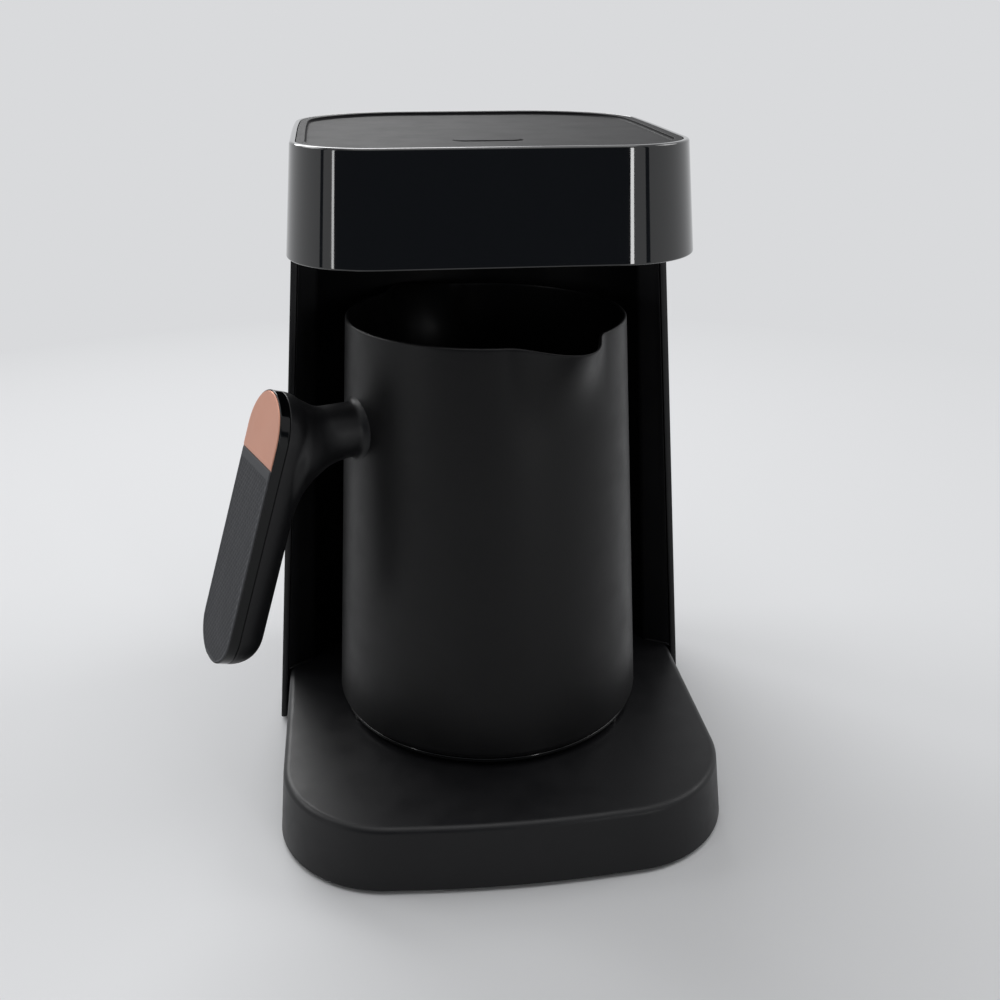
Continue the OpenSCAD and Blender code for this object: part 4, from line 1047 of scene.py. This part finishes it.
@dataclass
class Springs:
    """Coils under the button and the contact pins."""

    house: Housing = HOUSING
    button_coil_r: float = 4.4
    button_wire_r: float = 0.45
    pin_rings: tuple[float, ...] = (0.0, 6.5, 11.0)
    pin_angles: tuple[float, ...] = (0.0, 90.0, 210.0)
    pin_coil_r: float = 1.6
    pin_wire_r: float = 0.32
    turns: int = 5
    steps: int = 24
    sides: int = 8

    def coil(self, spot: tuple[float, float], radius: float, wire_r: float, foot: float,
             top: float) -> Grid:
        """Coil whose wire's middle lies at radius (cos a, sin a) and climbs evenly with a."""
        a = np.radians(np.linspace(0, 360 * self.turns, self.turns * self.steps + 1))[:, None]
        b = np.radians(np.arange(self.sides) * 360 / self.sides)[None, :]
        reach = radius + wire_r * np.cos(b)
        z = foot + wire_r + (top - foot - 2 * wire_r) * a / a.max() + wire_r * np.sin(b)
        return Grid(np.stack([spot[0] + reach * np.cos(a), spot[1] + reach * np.sin(a), z],
                             axis=-1), caps=True)

    def add(self, name: str, node: str, joint: str, spots: Sequence[tuple[float, float]],
            radius: float, wire_r: float) -> None:
        """Adds equal coils in place of a node."""
        low, high = (corner[2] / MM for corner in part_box(node))
        coils = [self.coil(spot, radius, wire_r, low, high) for spot in spots]
        piece = add_piece(name, coils, STEEL, "machine", [node], crease=60.0)
        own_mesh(piece)

    def build(self) -> None:
        """Adds the button's coil and the pins' coils."""
        self.add("button_coil", "button_spring", "start_press", [(0.0, -self.house.button_front)],
                 self.button_coil_r, self.button_wire_r)
        spots = [(r * math.cos(math.radians(a)), r * math.sin(math.radians(a)))
                 for r, a in zip(self.pin_rings, self.pin_angles)]
        self.add("pin_coils", "contact_springs", "pin_press", spots, self.pin_coil_r,
                 self.pin_wire_r)


# ---------------------------------------------------------------------------------------------
# Pot
# ---------------------------------------------------------------------------------------------


@dataclass
class Pot:
    """Conical pot with two opposite pouring lips, and the glossy ring at its foot."""

    rim_r: float = 51.1
    foot_r: float = 60.5
    height: float = 153.6
    wall: float = 1.5
    base_h: float = HOUSING.base_h
    fit: float = HOUSING.fit
    seat: float = HOUSING.seat
    gap: float = 1.5
    ring_h: float = 1.7
    floor: float = 18.0
    floor_fillet: float = 8.0
    foot_edge: float = 2.5
    lip_reach: float = 13.0
    lip_half_angle: float = 23.0
    lip_drop: float = 32.0
    lip_dip: float = 1.0
    lip_turn: float = 2.5
    turn: float = 202.0
    around: int = 288
    pad_r: float = 3.2
    pad_edge: float = 0.3
    plug_w: float = 3.7
    cavity_h: float = 5.2
    cover_t: float = 2.0
    ledge_t: float = 1.5
    ledge_w: float = 3.0
    hold: float = 0.5
    floor_hold: float = 0.4
    rim_hold: float = 1.2
    foot_hold: float = 0.3

    @property
    def body_z(self) -> float:
        """Height of the body's lower edge."""
        return self.base_h + self.gap + self.ring_h

    @property
    def rim_z(self) -> float:
        """Height of the rim."""
        return self.body_z + self.height

    def angles(self) -> Array:
        """Directions of the pot's columns, in degrees."""
        return self.turn + 360.0 * np.arange(self.around) / self.around

    def wall_r(self, z: Array) -> Array:
        """Outer radius: a straight cone from the foot to the rim."""
        return mix(self.foot_r, self.rim_r, (z - self.body_z) / self.height)

    def swell(self) -> Array:
        """Share of a lip's reach in each direction: cosine squared across the lip."""
        share = np.zeros(self.around)
        for lip in (90 + self.lip_turn, self.lip_turn - 90):
            off = np.abs((self.angles() - self.turn - lip + 540) % 360 - 180)
            inside = np.cos(np.radians(90 * np.minimum(off / self.lip_half_angle, 1))) ** 2
            share = np.maximum(share, inside)
        return share

    def rings(self, inset: Array, z: Array, swollen: bool) -> Array:
        """Rings of the wall at heights z, set in, with the lips rising as a square of height."""
        inset, z = np.asarray(inset, float), np.asarray(z, float)
        a = np.radians(self.angles())[None, :]
        rise = np.maximum(0.0, (z - self.rim_z + self.lip_drop) / self.lip_drop) ** 2
        s = self.swell()[None, :] * rise[:, None] * (1.0 if swollen else 0.0)
        r = (self.wall_r(z) - inset)[:, None] + self.lip_reach * s
        height = z[:, None] - self.lip_dip * s
        return np.stack([r * np.cos(a), r * np.sin(a), height + 0 * a], axis=-1)

    def disc(self, radius: Array, z: Array) -> Array:
        """Plain rings of those radii at those heights."""
        a = np.radians(self.angles())[None, :]
        r, z = np.asarray(radius, float)[:, None], np.asarray(z, float)[:, None]
        return np.stack([r * np.cos(a), r * np.sin(a), z + 0 * a], axis=-1)

    def body(self) -> Grid:
        """Wall, round rim, floor and the recess under it, closed on the axis at both ends."""
        floor_z = self.body_z + self.floor
        inner = floor_z + self.wall
        fillet, edge, t = self.floor_fillet, self.foot_edge, self.wall
        inner_r = self.wall_r(inner + fillet) - t - fillet
        bend = np.radians(np.linspace(0, 90, 13))
        lip_z = self.rim_z - self.lip_drop
        climb = np.concatenate([np.linspace(inner + fillet + self.hold, lip_z, 24),
                                np.linspace(lip_z, self.rim_z - self.rim_hold, 26)[1:]])
        lip = np.radians(np.linspace(0, 180, 11))[1:-1]
        descend = np.concatenate([climb[climb > floor_z][::-1],
                                  np.linspace(inner + fillet, self.body_z + edge + self.hold,
                                              12)[1:]])
        foot = np.radians(np.linspace(0, 90, 9))
        foot_r = self.wall_r(self.body_z + edge)
        return Grid(np.concatenate([
            self.disc(np.linspace(0, inner_r - self.floor_hold, 10), np.full(10, inner)),
            self.disc(inner_r + fillet * np.sin(bend), inner + fillet * (1 - np.cos(bend))),
            self.rings(np.full_like(climb, t), climb, True),
            self.rings(t / 2 + t / 2 * np.cos(lip), self.rim_z - t / 2 * (1 - np.sin(lip)), True),
            self.rings(np.zeros_like(descend), descend, True),
            self.disc(foot_r - edge * (1 - np.cos(foot)), self.body_z + edge * (1 - np.sin(foot))),
            self.disc([self.foot_r - edge - self.foot_hold, self.foot_r - edge - t],
                      [self.body_z, self.body_z]),
            self.disc([self.wall_r(self.body_z + 2 * edge) - t, self.wall_r(floor_z) - t],
                      [self.body_z + 2 * edge, floor_z]),
            self.disc(np.linspace(self.wall_r(floor_z) - t - self.hold, 0, 6),
                      np.full(6, floor_z))]))

    def foot_ring(self) -> list[Grid]:
        """Glossy ring: its cross-section turned round the axis, and the pads it stands on."""
        z = self.base_h + self.gap
        outer, seat = self.foot_r - self.foot_edge / 2, self.seat
        plug_outer = self.foot_r - self.foot_edge - self.wall - self.fit
        plug_inner = plug_outer - self.plug_w
        ledge = self.base_h + self.cavity_h + self.cover_t + seat
        inset, height = profile([
            (plug_inner, z, 0.3), (outer, z, 0.8), (outer, self.body_z - seat, 0.2),
            (plug_outer, self.body_z - seat, 0), (plug_outer, ledge + self.ledge_t, 0.3),
            (plug_inner - self.ledge_w, ledge + self.ledge_t, 0),
            (plug_inner - self.ledge_w, ledge, 0),
            (plug_inner, ledge, 0)])
        grids = [Grid(self.disc(inset, height), wrap_rows=True)]
        middle = (plug_inner + outer) / 2
        angle = np.radians(np.linspace(0, 360, 33)[:-1])
        for k in range(3):
            spot = math.radians(self.turn + 120 * k)
            ring = np.stack([np.cos(angle), np.sin(angle), 0 * angle], axis=-1)
            at = np.array([middle * math.cos(spot), middle * math.sin(spot), 0.0])
            rows = [at + ring * r + np.array([0, 0, h]) for r, h in
                    ((0.0, self.base_h), (self.pad_r - self.pad_edge, self.base_h),
                     (self.pad_r, self.base_h + self.pad_edge), (self.pad_r, z + seat),
                     (0.0, z + seat))]
            grids.append(Grid(np.array(rows)))
        return grids

    def build(self) -> None:
        """Adds the pot's body and its foot ring."""
        add_piece("pot_shell", [self.body()], POT_COATING, "pot", ["pot_body"])
        add_piece("pot_foot_ring", self.foot_ring(), PIANO_ABS, "pot",
                  ["foot_ring"])


# ---------------------------------------------------------------------------------------------
# Handle
# ---------------------------------------------------------------------------------------------


@dataclass
class Handle:
    """Side handle: an arm that grows out of the pot and runs into a slanted grip."""

    pot: Pot
    reach: float = 86.2
    z: float = 153.4
    lean: float = 18.2
    length: float = 75.2
    top_hw: float = 15.4
    foot_hw: float = 15.4
    end: float = 0.86
    top_end: float = 1.06
    top_drop: float = 4.0
    depth: float = 16.3
    back_round: float = 2.3
    trim_depth: float = 4.0
    trim_rim: float = 0.4
    trim_edge: float = 0.3
    trim_inner_edge: float = 0.08
    trim_foot_w: float = 1.5
    trim_foot_edge: float = 0.3
    tray_w: float = 4.0
    inlay_proud: float = 0.4
    inlay_t: float = 1.6
    copper_l: float = 12.0
    arm_z: float = 146.5
    arm_r: float = 9.9
    pot_flare: float = 3.0
    flare_lead: float = 0.35
    arm_end: float = 69.0
    blend_over: float = 7.0
    blend_under: float = 21.0
    blend_run: float = 9.5
    blend_span: float = 16.0
    blend_least: float = 0.5
    sink: float = 0.7
    shell_edge: float = 0.3
    face_w: float = 1.5
    step: float = 0.55
    box_back: float = 40.0
    box_top: float = 22.0
    box_margin: float = 1.5
    seat: float = HOUSING.seat
    knurl_mm: float = 1.68
    knurl_turn: float = 30.0
    knurl_depth: float = 0.42
    knurl_margin: float = 0.6
    plain_l: float = 3.0
    copper_soft: float = 0.35
    rubber_soft: float = 0.5

    def placed(self, points: Array) -> Array:
        """Points given as X out of the face, Y across and Z along the grip, put in place."""
        return self.turned(self.raised_up(points))

    def raised_up(self, points: Array) -> Array:
        """Points of the grip's frame in the arm's frame, with X away from the pot and Z up."""
        a = math.radians(self.lean)
        x, y, z = points[..., 0], points[..., 1], points[..., 2]
        return np.stack([x * math.cos(a) - z * math.sin(a) + self.reach, y,
                         x * math.sin(a) + z * math.cos(a) + self.z], axis=-1)

    def turned(self, points: Array) -> Array:
        """Points given with X away from the pot, turned in the handle's direction."""
        t = math.radians(self.pot.turn)
        x, y = points[..., 0], points[..., 1]
        return np.stack([x * math.cos(t) - y * math.sin(t), x * math.sin(t) + y * math.cos(t),
                         points[..., 2]], axis=-1)

    def plan(self, inset: Array, scale: Array, steps: int = 40) -> Array:
        """Grip's outline: two half ellipses joined by nearly parallel sides.

        Args:
            inset: How far the outline is taken in, shape (n,).
            scale: Factor on its width and its ends, shape (n,).
            steps: Chords of each end.

        Returns:
            Points across and along the grip, shape (m, n, 2).
        """
        top, foot = (self.top_hw - inset) * scale, (self.foot_hw - inset) * scale
        a = np.radians(np.linspace(0, 180, steps + 1))[:, None]
        upper = np.stack([top * np.cos(a), self.top_end * top * np.sin(a) - self.top_drop],
                         axis=-1)
        lower = np.stack([-foot * np.cos(a), -self.end * foot * np.sin(a) - self.length], axis=-1)
        return np.concatenate([upper, side(upper[-1], lower[0], 1.0, 20), lower,
                               side(lower[-1], upper[0], 1.0, 20)])

    def back_field(self, points: Array) -> Array:
        """Field of the grip's back, in the grip's frame.

        Across the grip, a point lies at the share q of the outline's half width, and of its end
        ellipses beyond the straight sides. Behind the parting plane it lies at the share u of
        the depth. The surface is where (q^p + u^p)^(1/p) is 1, with p the back's roundness.
        """
        x, y, z = points[..., 0], points[..., 1], points[..., 2]
        hw = mix(self.top_hw, self.foot_hw, np.clip(-z / self.length, 0, 1))
        over = np.maximum(z + self.top_drop, 0) / self.top_end + \
            np.minimum(z + self.length, 0) / self.end
        q = np.hypot(y, over) / hw
        front = -self.trim_depth - self.seat
        u = np.maximum(front - x, 0) / (self.depth + front)
        p = self.back_round
        return ((np.maximum(q, 1e-6) ** p + u ** p) ** (1 / p) - 1) * hw

    def shell_field(self, points: Array) -> Array:
        """Field of the whole shell, in the grip's frame.

        The arm is a rod with a round end, whose radius grows near the pot's wall by a fillet:
        at distance d from the wall it grows by r - sqrt(r^2 - (r - d)^2), with d a little ahead.
        Arm and grip run into each other over a width that fades out towards the parting plane
        and is wide under the arm and narrow over it. The pot's wall, set in a little, cuts the
        arm off.
        """
        at = self.raised_up(points)
        x, y, z = at[..., 0], at[..., 1], at[..., 2] - self.arm_z
        slope = (self.pot.foot_r - self.pot.rim_r) / self.pot.height
        wall = (np.hypot(x, y) - self.pot.wall_r(at[..., 2])) / math.hypot(1, slope)
        near = self.pot_flare - np.clip(wall + self.flare_lead, 0, self.pot_flare)
        flare = self.pot_flare - np.sqrt(self.pot_flare ** 2 - near ** 2)
        rod = np.sqrt(y ** 2 + z ** 2 + np.maximum(x - self.arm_end, 0) ** 2) - self.arm_r - flare
        depth = -self.trim_depth - points[..., 0]
        over = smooth_step((z + self.blend_span / 2) / self.blend_span)
        blend = mix(self.blend_under, self.blend_over, over)
        width = self.blend_least + blend * smooth_step(depth / self.blend_run)
        whole = blend_min(self.back_field(points), rod, width)
        return np.maximum(whole, -wall - self.sink)

    def shell(self) -> Net:
        """Arm and grip back in one surface, cut off and rounded at the parting plane."""
        end = self.end * self.foot_hw
        low = np.array([-self.box_back, -self.foot_hw - self.box_margin,
                        -self.length - end - self.box_margin])
        high = np.array([0.0, self.foot_hw + self.box_margin, self.box_top])
        net = surface_net(self.shell_field, low, high, self.step)
        log.info("handle shell: %d points", len(net.points))
        work = bmesh.new()
        verts = [work.verts.new(p) for p in net.points]
        for quad in net.quads:
            work.faces.new([verts[i] for i in quad])
        cut = -self.trim_depth - self.seat - self.shell_edge
        bmesh.ops.bisect_plane(work, geom=[*work.verts, *work.edges, *work.faces],
                               plane_co=(cut, 0, 0), plane_no=(1, 0, 0), clear_outer=True)
        work.verts.index_update()
        rim = self.rim_loop(work)
        points = np.array([v.co[:] for v in work.verts])
        faces = [[v.index for v in f.verts] for f in work.faces]
        work.free()
        cut_net = Net(points, np.array([f for f in faces if len(f) == 4]),
                      [np.array(f) for f in faces if len(f) != 4])
        return self.with_rounded_rim(cut_net, rim)

    def rim_loop(self, work: bmesh.types.BMesh) -> Array:
        """Indices of the open edge's points, in order."""
        links: dict[int, list[int]] = {}
        for edge in work.edges:
            if edge.is_boundary:
                a, b = (v.index for v in edge.verts)
                links.setdefault(a, []).append(b)
                links.setdefault(b, []).append(a)
        start = min(links)
        loop, last = [start], links[start][0]
        while last != start:
            a, b = links[last]
            loop.append(last)
            last = b if a == loop[-2] else a
        return np.array(loop)

    def with_rounded_rim(self, net: Net, rim: Array) -> Net:
        """Adds the rim's quarter circle and the flat face in front of it.

        Each ring of the rim is the open edge, moved inwards by r (1 - cos t) and forwards by
        r sin t, with t going from 0 to 90 degrees.
        """
        r, edge = self.shell_edge, net.points[rim]
        slope = gradient(self.shell_field, edge)
        slope[:, 0] = 0.0
        inward = -unit(slope)
        rings = [edge + inward * r * (1 - math.cos(t)) + np.array([r * math.sin(t), 0, 0])
                 for t in np.linspace(0, math.pi / 2, 5)[1:]]
        rings.append(rings[-1] + inward * self.face_w)
        count, first = len(rim), len(net.points)
        numbers = [rim] + [first + k * count + np.arange(count) for k in range(len(rings))]
        strips = [np.stack([a, np.roll(a, -1), np.roll(b, -1), b], axis=-1)
                  for a, b in zip(numbers, numbers[1:])]
        return Net(self.placed(np.concatenate([net.points, *rings])),
                   np.concatenate([net.quads, *strips]), [*net.holes, numbers[-1]])

    def trim(self) -> Grid:
        """Glossy tray round the face: a rim with a soft edge and a recess for the inlays."""
        rim = -self.inlay_proud
        inset, x = profile([
            (self.trim_foot_w, -self.trim_depth, 0), (0, -self.trim_depth, self.trim_foot_edge),
            (0, rim, self.trim_edge), (self.trim_rim, rim, self.trim_inner_edge),
            (self.trim_rim, -self.inlay_t, 0), (self.trim_rim + self.tray_w, -self.inlay_t, 0)],
            closed=False)
        plan = self.plan(inset, np.ones_like(inset))
        points = np.concatenate([np.broadcast_to(x[None, :, None], plan.shape[:2] + (1,)), plan],
                                axis=-1).transpose(1, 0, 2)
        spine = np.stack([points[-1, :, 0], 0 * points[-1, :, 1],
                          np.clip(points[-1, :, 2], -self.length, -self.top_drop)], axis=-1)
        under = spine - np.array([self.trim_depth - self.inlay_t, 0, 0])
        return Grid(self.placed(np.concatenate([points, spine[None], under[None]])),
                    wrap_rows=True)

    def half_width(self, v: Array, inset: float) -> Array:
        """Half width of the inset outline at height v along the grip."""
        top, foot = self.top_hw - inset, self.foot_hw - inset
        sides = mix(top, foot, np.clip(-v / self.length, 0, 1))
        over = np.clip((v + self.top_drop) / (self.top_end * top), 0, 1)
        below = np.clip((-v - self.length) / (self.end * foot), 0, 1)
        return sides * np.sqrt(1 - over ** 2) * np.sqrt(1 - below ** 2)

    def inlay(self, v: Array, columns: int, soft: float, knurled: bool) -> Grid:
        """Inlay over the heights v: a loop over its face and its back at each height.

        The face drops by a quarter circle of radius `soft` towards its edges. A knurled face
        has pyramids: the lower of two triangle waves, whose ridges run at the knurl's turn to
        either side of the grip's axis. They fade out over a millimetre towards a plain margin.
        """
        inset = self.trim_rim + 2 * self.seat
        w = self.half_width(v, inset)[:, None]
        t = np.sin(np.radians(np.linspace(-90, 90, columns))) if not knurled else \
            np.linspace(-1, 1, columns)
        y = w * t[None, :]
        along = v[:, None] + 0 * y
        tip = np.minimum(v.max() - along, along - v.min())
        edge = np.minimum(w - np.abs(y), tip)
        x = -soft * (1 - np.sqrt(1 - (1 - np.clip(edge / soft, 0, 1)) ** 2)) - self.seat
        if knurled:
            a = math.radians(self.knurl_turn)
            waves = [(y * math.cos(a) + sign * along * math.sin(a)) / self.knurl_mm
                     for sign in (1, -1)]
            tri = [1 - np.abs(2 * (wave % 1) - 1) for wave in waves]
            plain = np.minimum(edge - self.knurl_margin, v.max() - along - self.plain_l)
            x = x - self.knurl_depth * (1 - np.minimum(*tri)) * smooth_step(plain)
        front = np.stack([x, y, along], axis=-1)
        back = front[:, ::-1][:, ::max(1, columns // 6)].copy()
        back[..., 0] = -self.inlay_t
        return Grid(self.placed(np.concatenate([front, back], axis=1)), caps=True)

    def build(self) -> None:
        """Adds the handle's pieces."""
        add_piece("handle_shell", [self.shell()], SATIN_ABS, "pot",
                  ["handle_body"], crease=60.0)
        add_piece("handle_gloss_trim", [self.trim()], TRIM_ABS, "pot",
                  ["handle_trim"])
        inset = self.trim_rim + 2 * self.seat
        top = self.top_end * (self.top_hw - inset)
        low = -self.length - self.end * (self.foot_hw - inset)
        cap = top * np.sin(np.radians(np.linspace(90, 0, 30))) - self.top_drop
        copper = np.concatenate([cap, np.linspace(cap[-1], self.seat - self.copper_l, 12)[1:]])
        add_piece("handle_copper_inlay", [self.inlay(copper, 40, self.copper_soft, False)],
                  COPPER, "pot", ["copper_inlay"])
        rubber = np.linspace(-self.copper_l - self.seat, low, 420)
        add_piece("handle_rubber_inlay", [self.inlay(rubber, 150, self.rubber_soft, True)],
                  GREY_RUBBER, "pot", ["rubber_grip"])


# ---------------------------------------------------------------------------------------------
# Stage
# ---------------------------------------------------------------------------------------------


@dataclass(frozen=True)
class Lamp:
    """Soft rectangular lamp: place, what it points at, width and height in metres, watts."""

    name: str
    place: tuple[float, float, float]
    target: tuple[float, float, float]
    size: tuple[float, float]
    watts: float

    def build(self) -> None:
        """Adds the lamp to the scene."""
        data = bpy.data.lights.new(self.name, "AREA")
        data.shape = "RECTANGLE"
        data.size, data.size_y = self.size
        data.energy = self.watts
        lamp = add_object(self.name, data)
        lamp.location = self.place
        aim = Vector(self.target) - Vector(self.place)
        lamp.rotation_euler = aim.to_track_quat("-Z", "Y").to_euler()


@dataclass
class Studio:
    """Pale floor, soft lamps, plain surroundings, dark glowing walls that paint dark reflections,
    and the camera.
    """

    floor_colour: str = "#d9dadc"
    backdrop: str = "#d9dadc"
    floor_reach: float = 30.0
    floor_fade: tuple[float, float] = (0.2, 0.75)
    sky: float = 0.22
    # Painted dark reflection: colour, radius, angle spans, height and foot of the glowing walls that
    # only glosses see
    painted_reflection_colour: str = "#4c5058"
    dark_reach: float = 1.6
    dark_turns: tuple[tuple[float, float], ...] = ((-148.1, -64.5), (-168.0, -163.5),
                                                   (-45.0, -39.5))
    dark_height: float = 1.3
    dark_foot: float = -0.01
    dark_steps: int = 24
    camera_place: tuple[float, float, float] = (-0.0441, -0.4071, 0.2815)
    camera_turn: tuple[float, float, float] = (67.02, 0.0, -6.90)
    lens: float = 41.0
    sensor: float = 36.0
    clip: tuple[float, float] = (0.01, 100.0)
    lamps: tuple[Lamp, ...] = field(default_factory=lambda: (
        Lamp("lamp_back", (-0.5, 1.5, 1.25), (0, 0, 0.1), (1.6, 0.9), 27.0),
        Lamp("lamp_left", (-1.6, 0.6, 1.35), (0, 0, 0.12), (0.9, 0.8), 8.5),
        Lamp("lamp_right", (1.7, 0.2, 1.35), (0, 0, 0.12), (1.0, 0.8), 9.0),
        Lamp("lamp_top", (0.0, -0.2, 1.9), (0, 0, 0.1), (1.6, 1.2), 10.0),
        Lamp("strip_left", (-1.298, -0.764, 0.31), (0, 0, 0.2), (0.08, 0.6), 0.9),
        Lamp("strip_right", (0.658, -1.292, 0.31), (0, 0, 0.2), (0.11, 0.6), 2.0)))

    def floor(self) -> None:
        """Large floor whose far parts take the backdrop's own colour."""
        reach = self.floor_reach
        mesh = bpy.data.meshes.new("floor")
        mesh.from_pydata([(-reach, -reach, 0), (reach, -reach, 0), (reach, reach, 0),
                          (-reach, reach, 0)], [], [(0, 1, 2, 3)])
        floor = add_object("floor", mesh)
        made, tree = blank_material("pale_floor")
        place = add_node(tree, "ShaderNodeTexCoord").outputs["Object"]
        far = add_node(tree, "ShaderNodeVectorMath", {"operation": "LENGTH"}, {0: place})
        share = add_node(tree, "ShaderNodeMath", {"operation": "MULTIPLY"}, {
            0: spread(tree, far.outputs["Value"], self.floor_fade, (0.0, 1.0)),
            1: self.seen(tree)})
        shader = add_node(tree, "ShaderNodeBsdfPrincipled", inputs={
            "Base Color": linear(self.floor_colour), "Roughness": 0.9,
            "Specular IOR Level": 0.0})
        glow = add_node(tree, "ShaderNodeEmission", inputs={"Color": linear(self.backdrop)})
        blend = add_node(tree, "ShaderNodeMixShader", inputs={
            "Fac": share.outputs["Value"],
            1: shader.outputs["BSDF"], 2: glow.outputs["Emission"]})
        add_node(tree, "ShaderNodeOutputMaterial", inputs={"Surface": blend.outputs["Shader"]})
        mesh.materials.append(made)

    def seen(self, tree: bpy.types.NodeTree) -> bpy.types.NodeSocket:
        """1 for what the camera sees, straight or by way of a gloss or glass, otherwise 0."""
        rays = add_node(tree, "ShaderNodeLightPath")
        straight = add_node(tree, "ShaderNodeMath", {"operation": "MAXIMUM"}, {
            0: rays.outputs["Is Camera Ray"], 1: rays.outputs["Is Glossy Ray"]})
        either = add_node(tree, "ShaderNodeMath", {"operation": "MAXIMUM"}, {
            0: straight.outputs["Value"], 1: rays.outputs["Is Transmission Ray"]})
        return either.outputs["Value"]

    def painted_reflection_walls(self) -> None:
        """Painted dark reflection: dark glowing walls in front of the machine, which only its
        glosses show.

        Its walls are parts of an upright cylinder: reach times (cos a, sin a), with a going
        from one end of each turn to the other.
        """
        points, faces = [], []
        for turn in self.dark_turns:
            rim = arc(np.zeros(2), self.dark_reach, *turn, self.dark_steps)
            first, count = len(points), len(rim)
            points += [(x, y, z) for z in (self.dark_foot, self.dark_height)
                       for x, y in rim.tolist()]
            faces += [(k, k + 1, count + k + 1, count + k)
                      for k in range(first, first + count - 1)]
        mesh = bpy.data.meshes.new("painted_reflection_walls")
        mesh.from_pydata(points, [], faces)
        wall = add_object("painted_reflection_walls", mesh)
        made, tree = blank_material("painted_reflection_walls")
        # Painted reflection: the walls glow in a dark grey, which the glosses show as a dark room
        glow = add_node(tree, "ShaderNodeEmission", inputs={"Color": linear(self.painted_reflection_colour)})
        add_node(tree, "ShaderNodeOutputMaterial", inputs={"Surface": glow.outputs["Emission"]})
        mesh.materials.append(made)
        # Hidden from the camera, from diffuse light and from shadows, so the walls only paint
        # reflections and shade nothing
        wall.visible_camera = wall.visible_diffuse = wall.visible_shadow = False

    def surroundings(self) -> None:
        """Even light from all round, with the backdrop's colour behind the machine."""
        world = bpy.data.worlds.new("studio")
        bpy.context.scene.world = world
        world.use_nodes = True
        tree = world.node_tree
        tree.nodes.clear()
        seen = add_node(tree, "ShaderNodeBackground", inputs={"Color": linear(self.backdrop)})
        lit = add_node(tree, "ShaderNodeBackground", inputs={
            "Color": (1.0, 1.0, 1.0, 1.0), "Strength": self.sky})
        blend = add_node(tree, "ShaderNodeMixShader", inputs={
            "Fac": self.seen(tree), 1: lit.outputs["Background"],
            2: seen.outputs["Background"]})
        add_node(tree, "ShaderNodeOutputWorld", inputs={"Surface": blend.outputs["Shader"]})

    def camera(self) -> None:
        """Camera at the height and angle of someone who looks down at the table."""
        data = bpy.data.cameras.new("camera")
        data.lens, data.sensor_width, data.sensor_fit = self.lens, self.sensor, "HORIZONTAL"
        data.clip_start, data.clip_end = self.clip
        camera = add_object("camera", data)
        camera.location = self.camera_place
        camera.rotation_euler = [math.radians(a) for a in self.camera_turn]
        bpy.context.scene.camera = camera

    def build(self) -> None:
        """Adds the camera, the lamps, the floor, the walls that paint dark reflections and the
        surroundings.
        """
        bpy.context.scene.view_settings.view_transform = "Standard"
        self.camera()
        for lamp in self.lamps:
            lamp.build()
        self.floor()
        self.painted_reflection_walls()
        self.surroundings()


def main() -> None:
    """Builds the studio and every sub-assembly in order."""
    logging.basicConfig(level=logging.INFO, format="%(name)s %(message)s")
    Studio().build()
    dress_nodes()
    Column().build()
    Base().build()
    Head().build()
    Springs().build()
    pot = Pot()
    pot.build()
    Handle(pot).build()


if __name__ == "__main__":
    main()
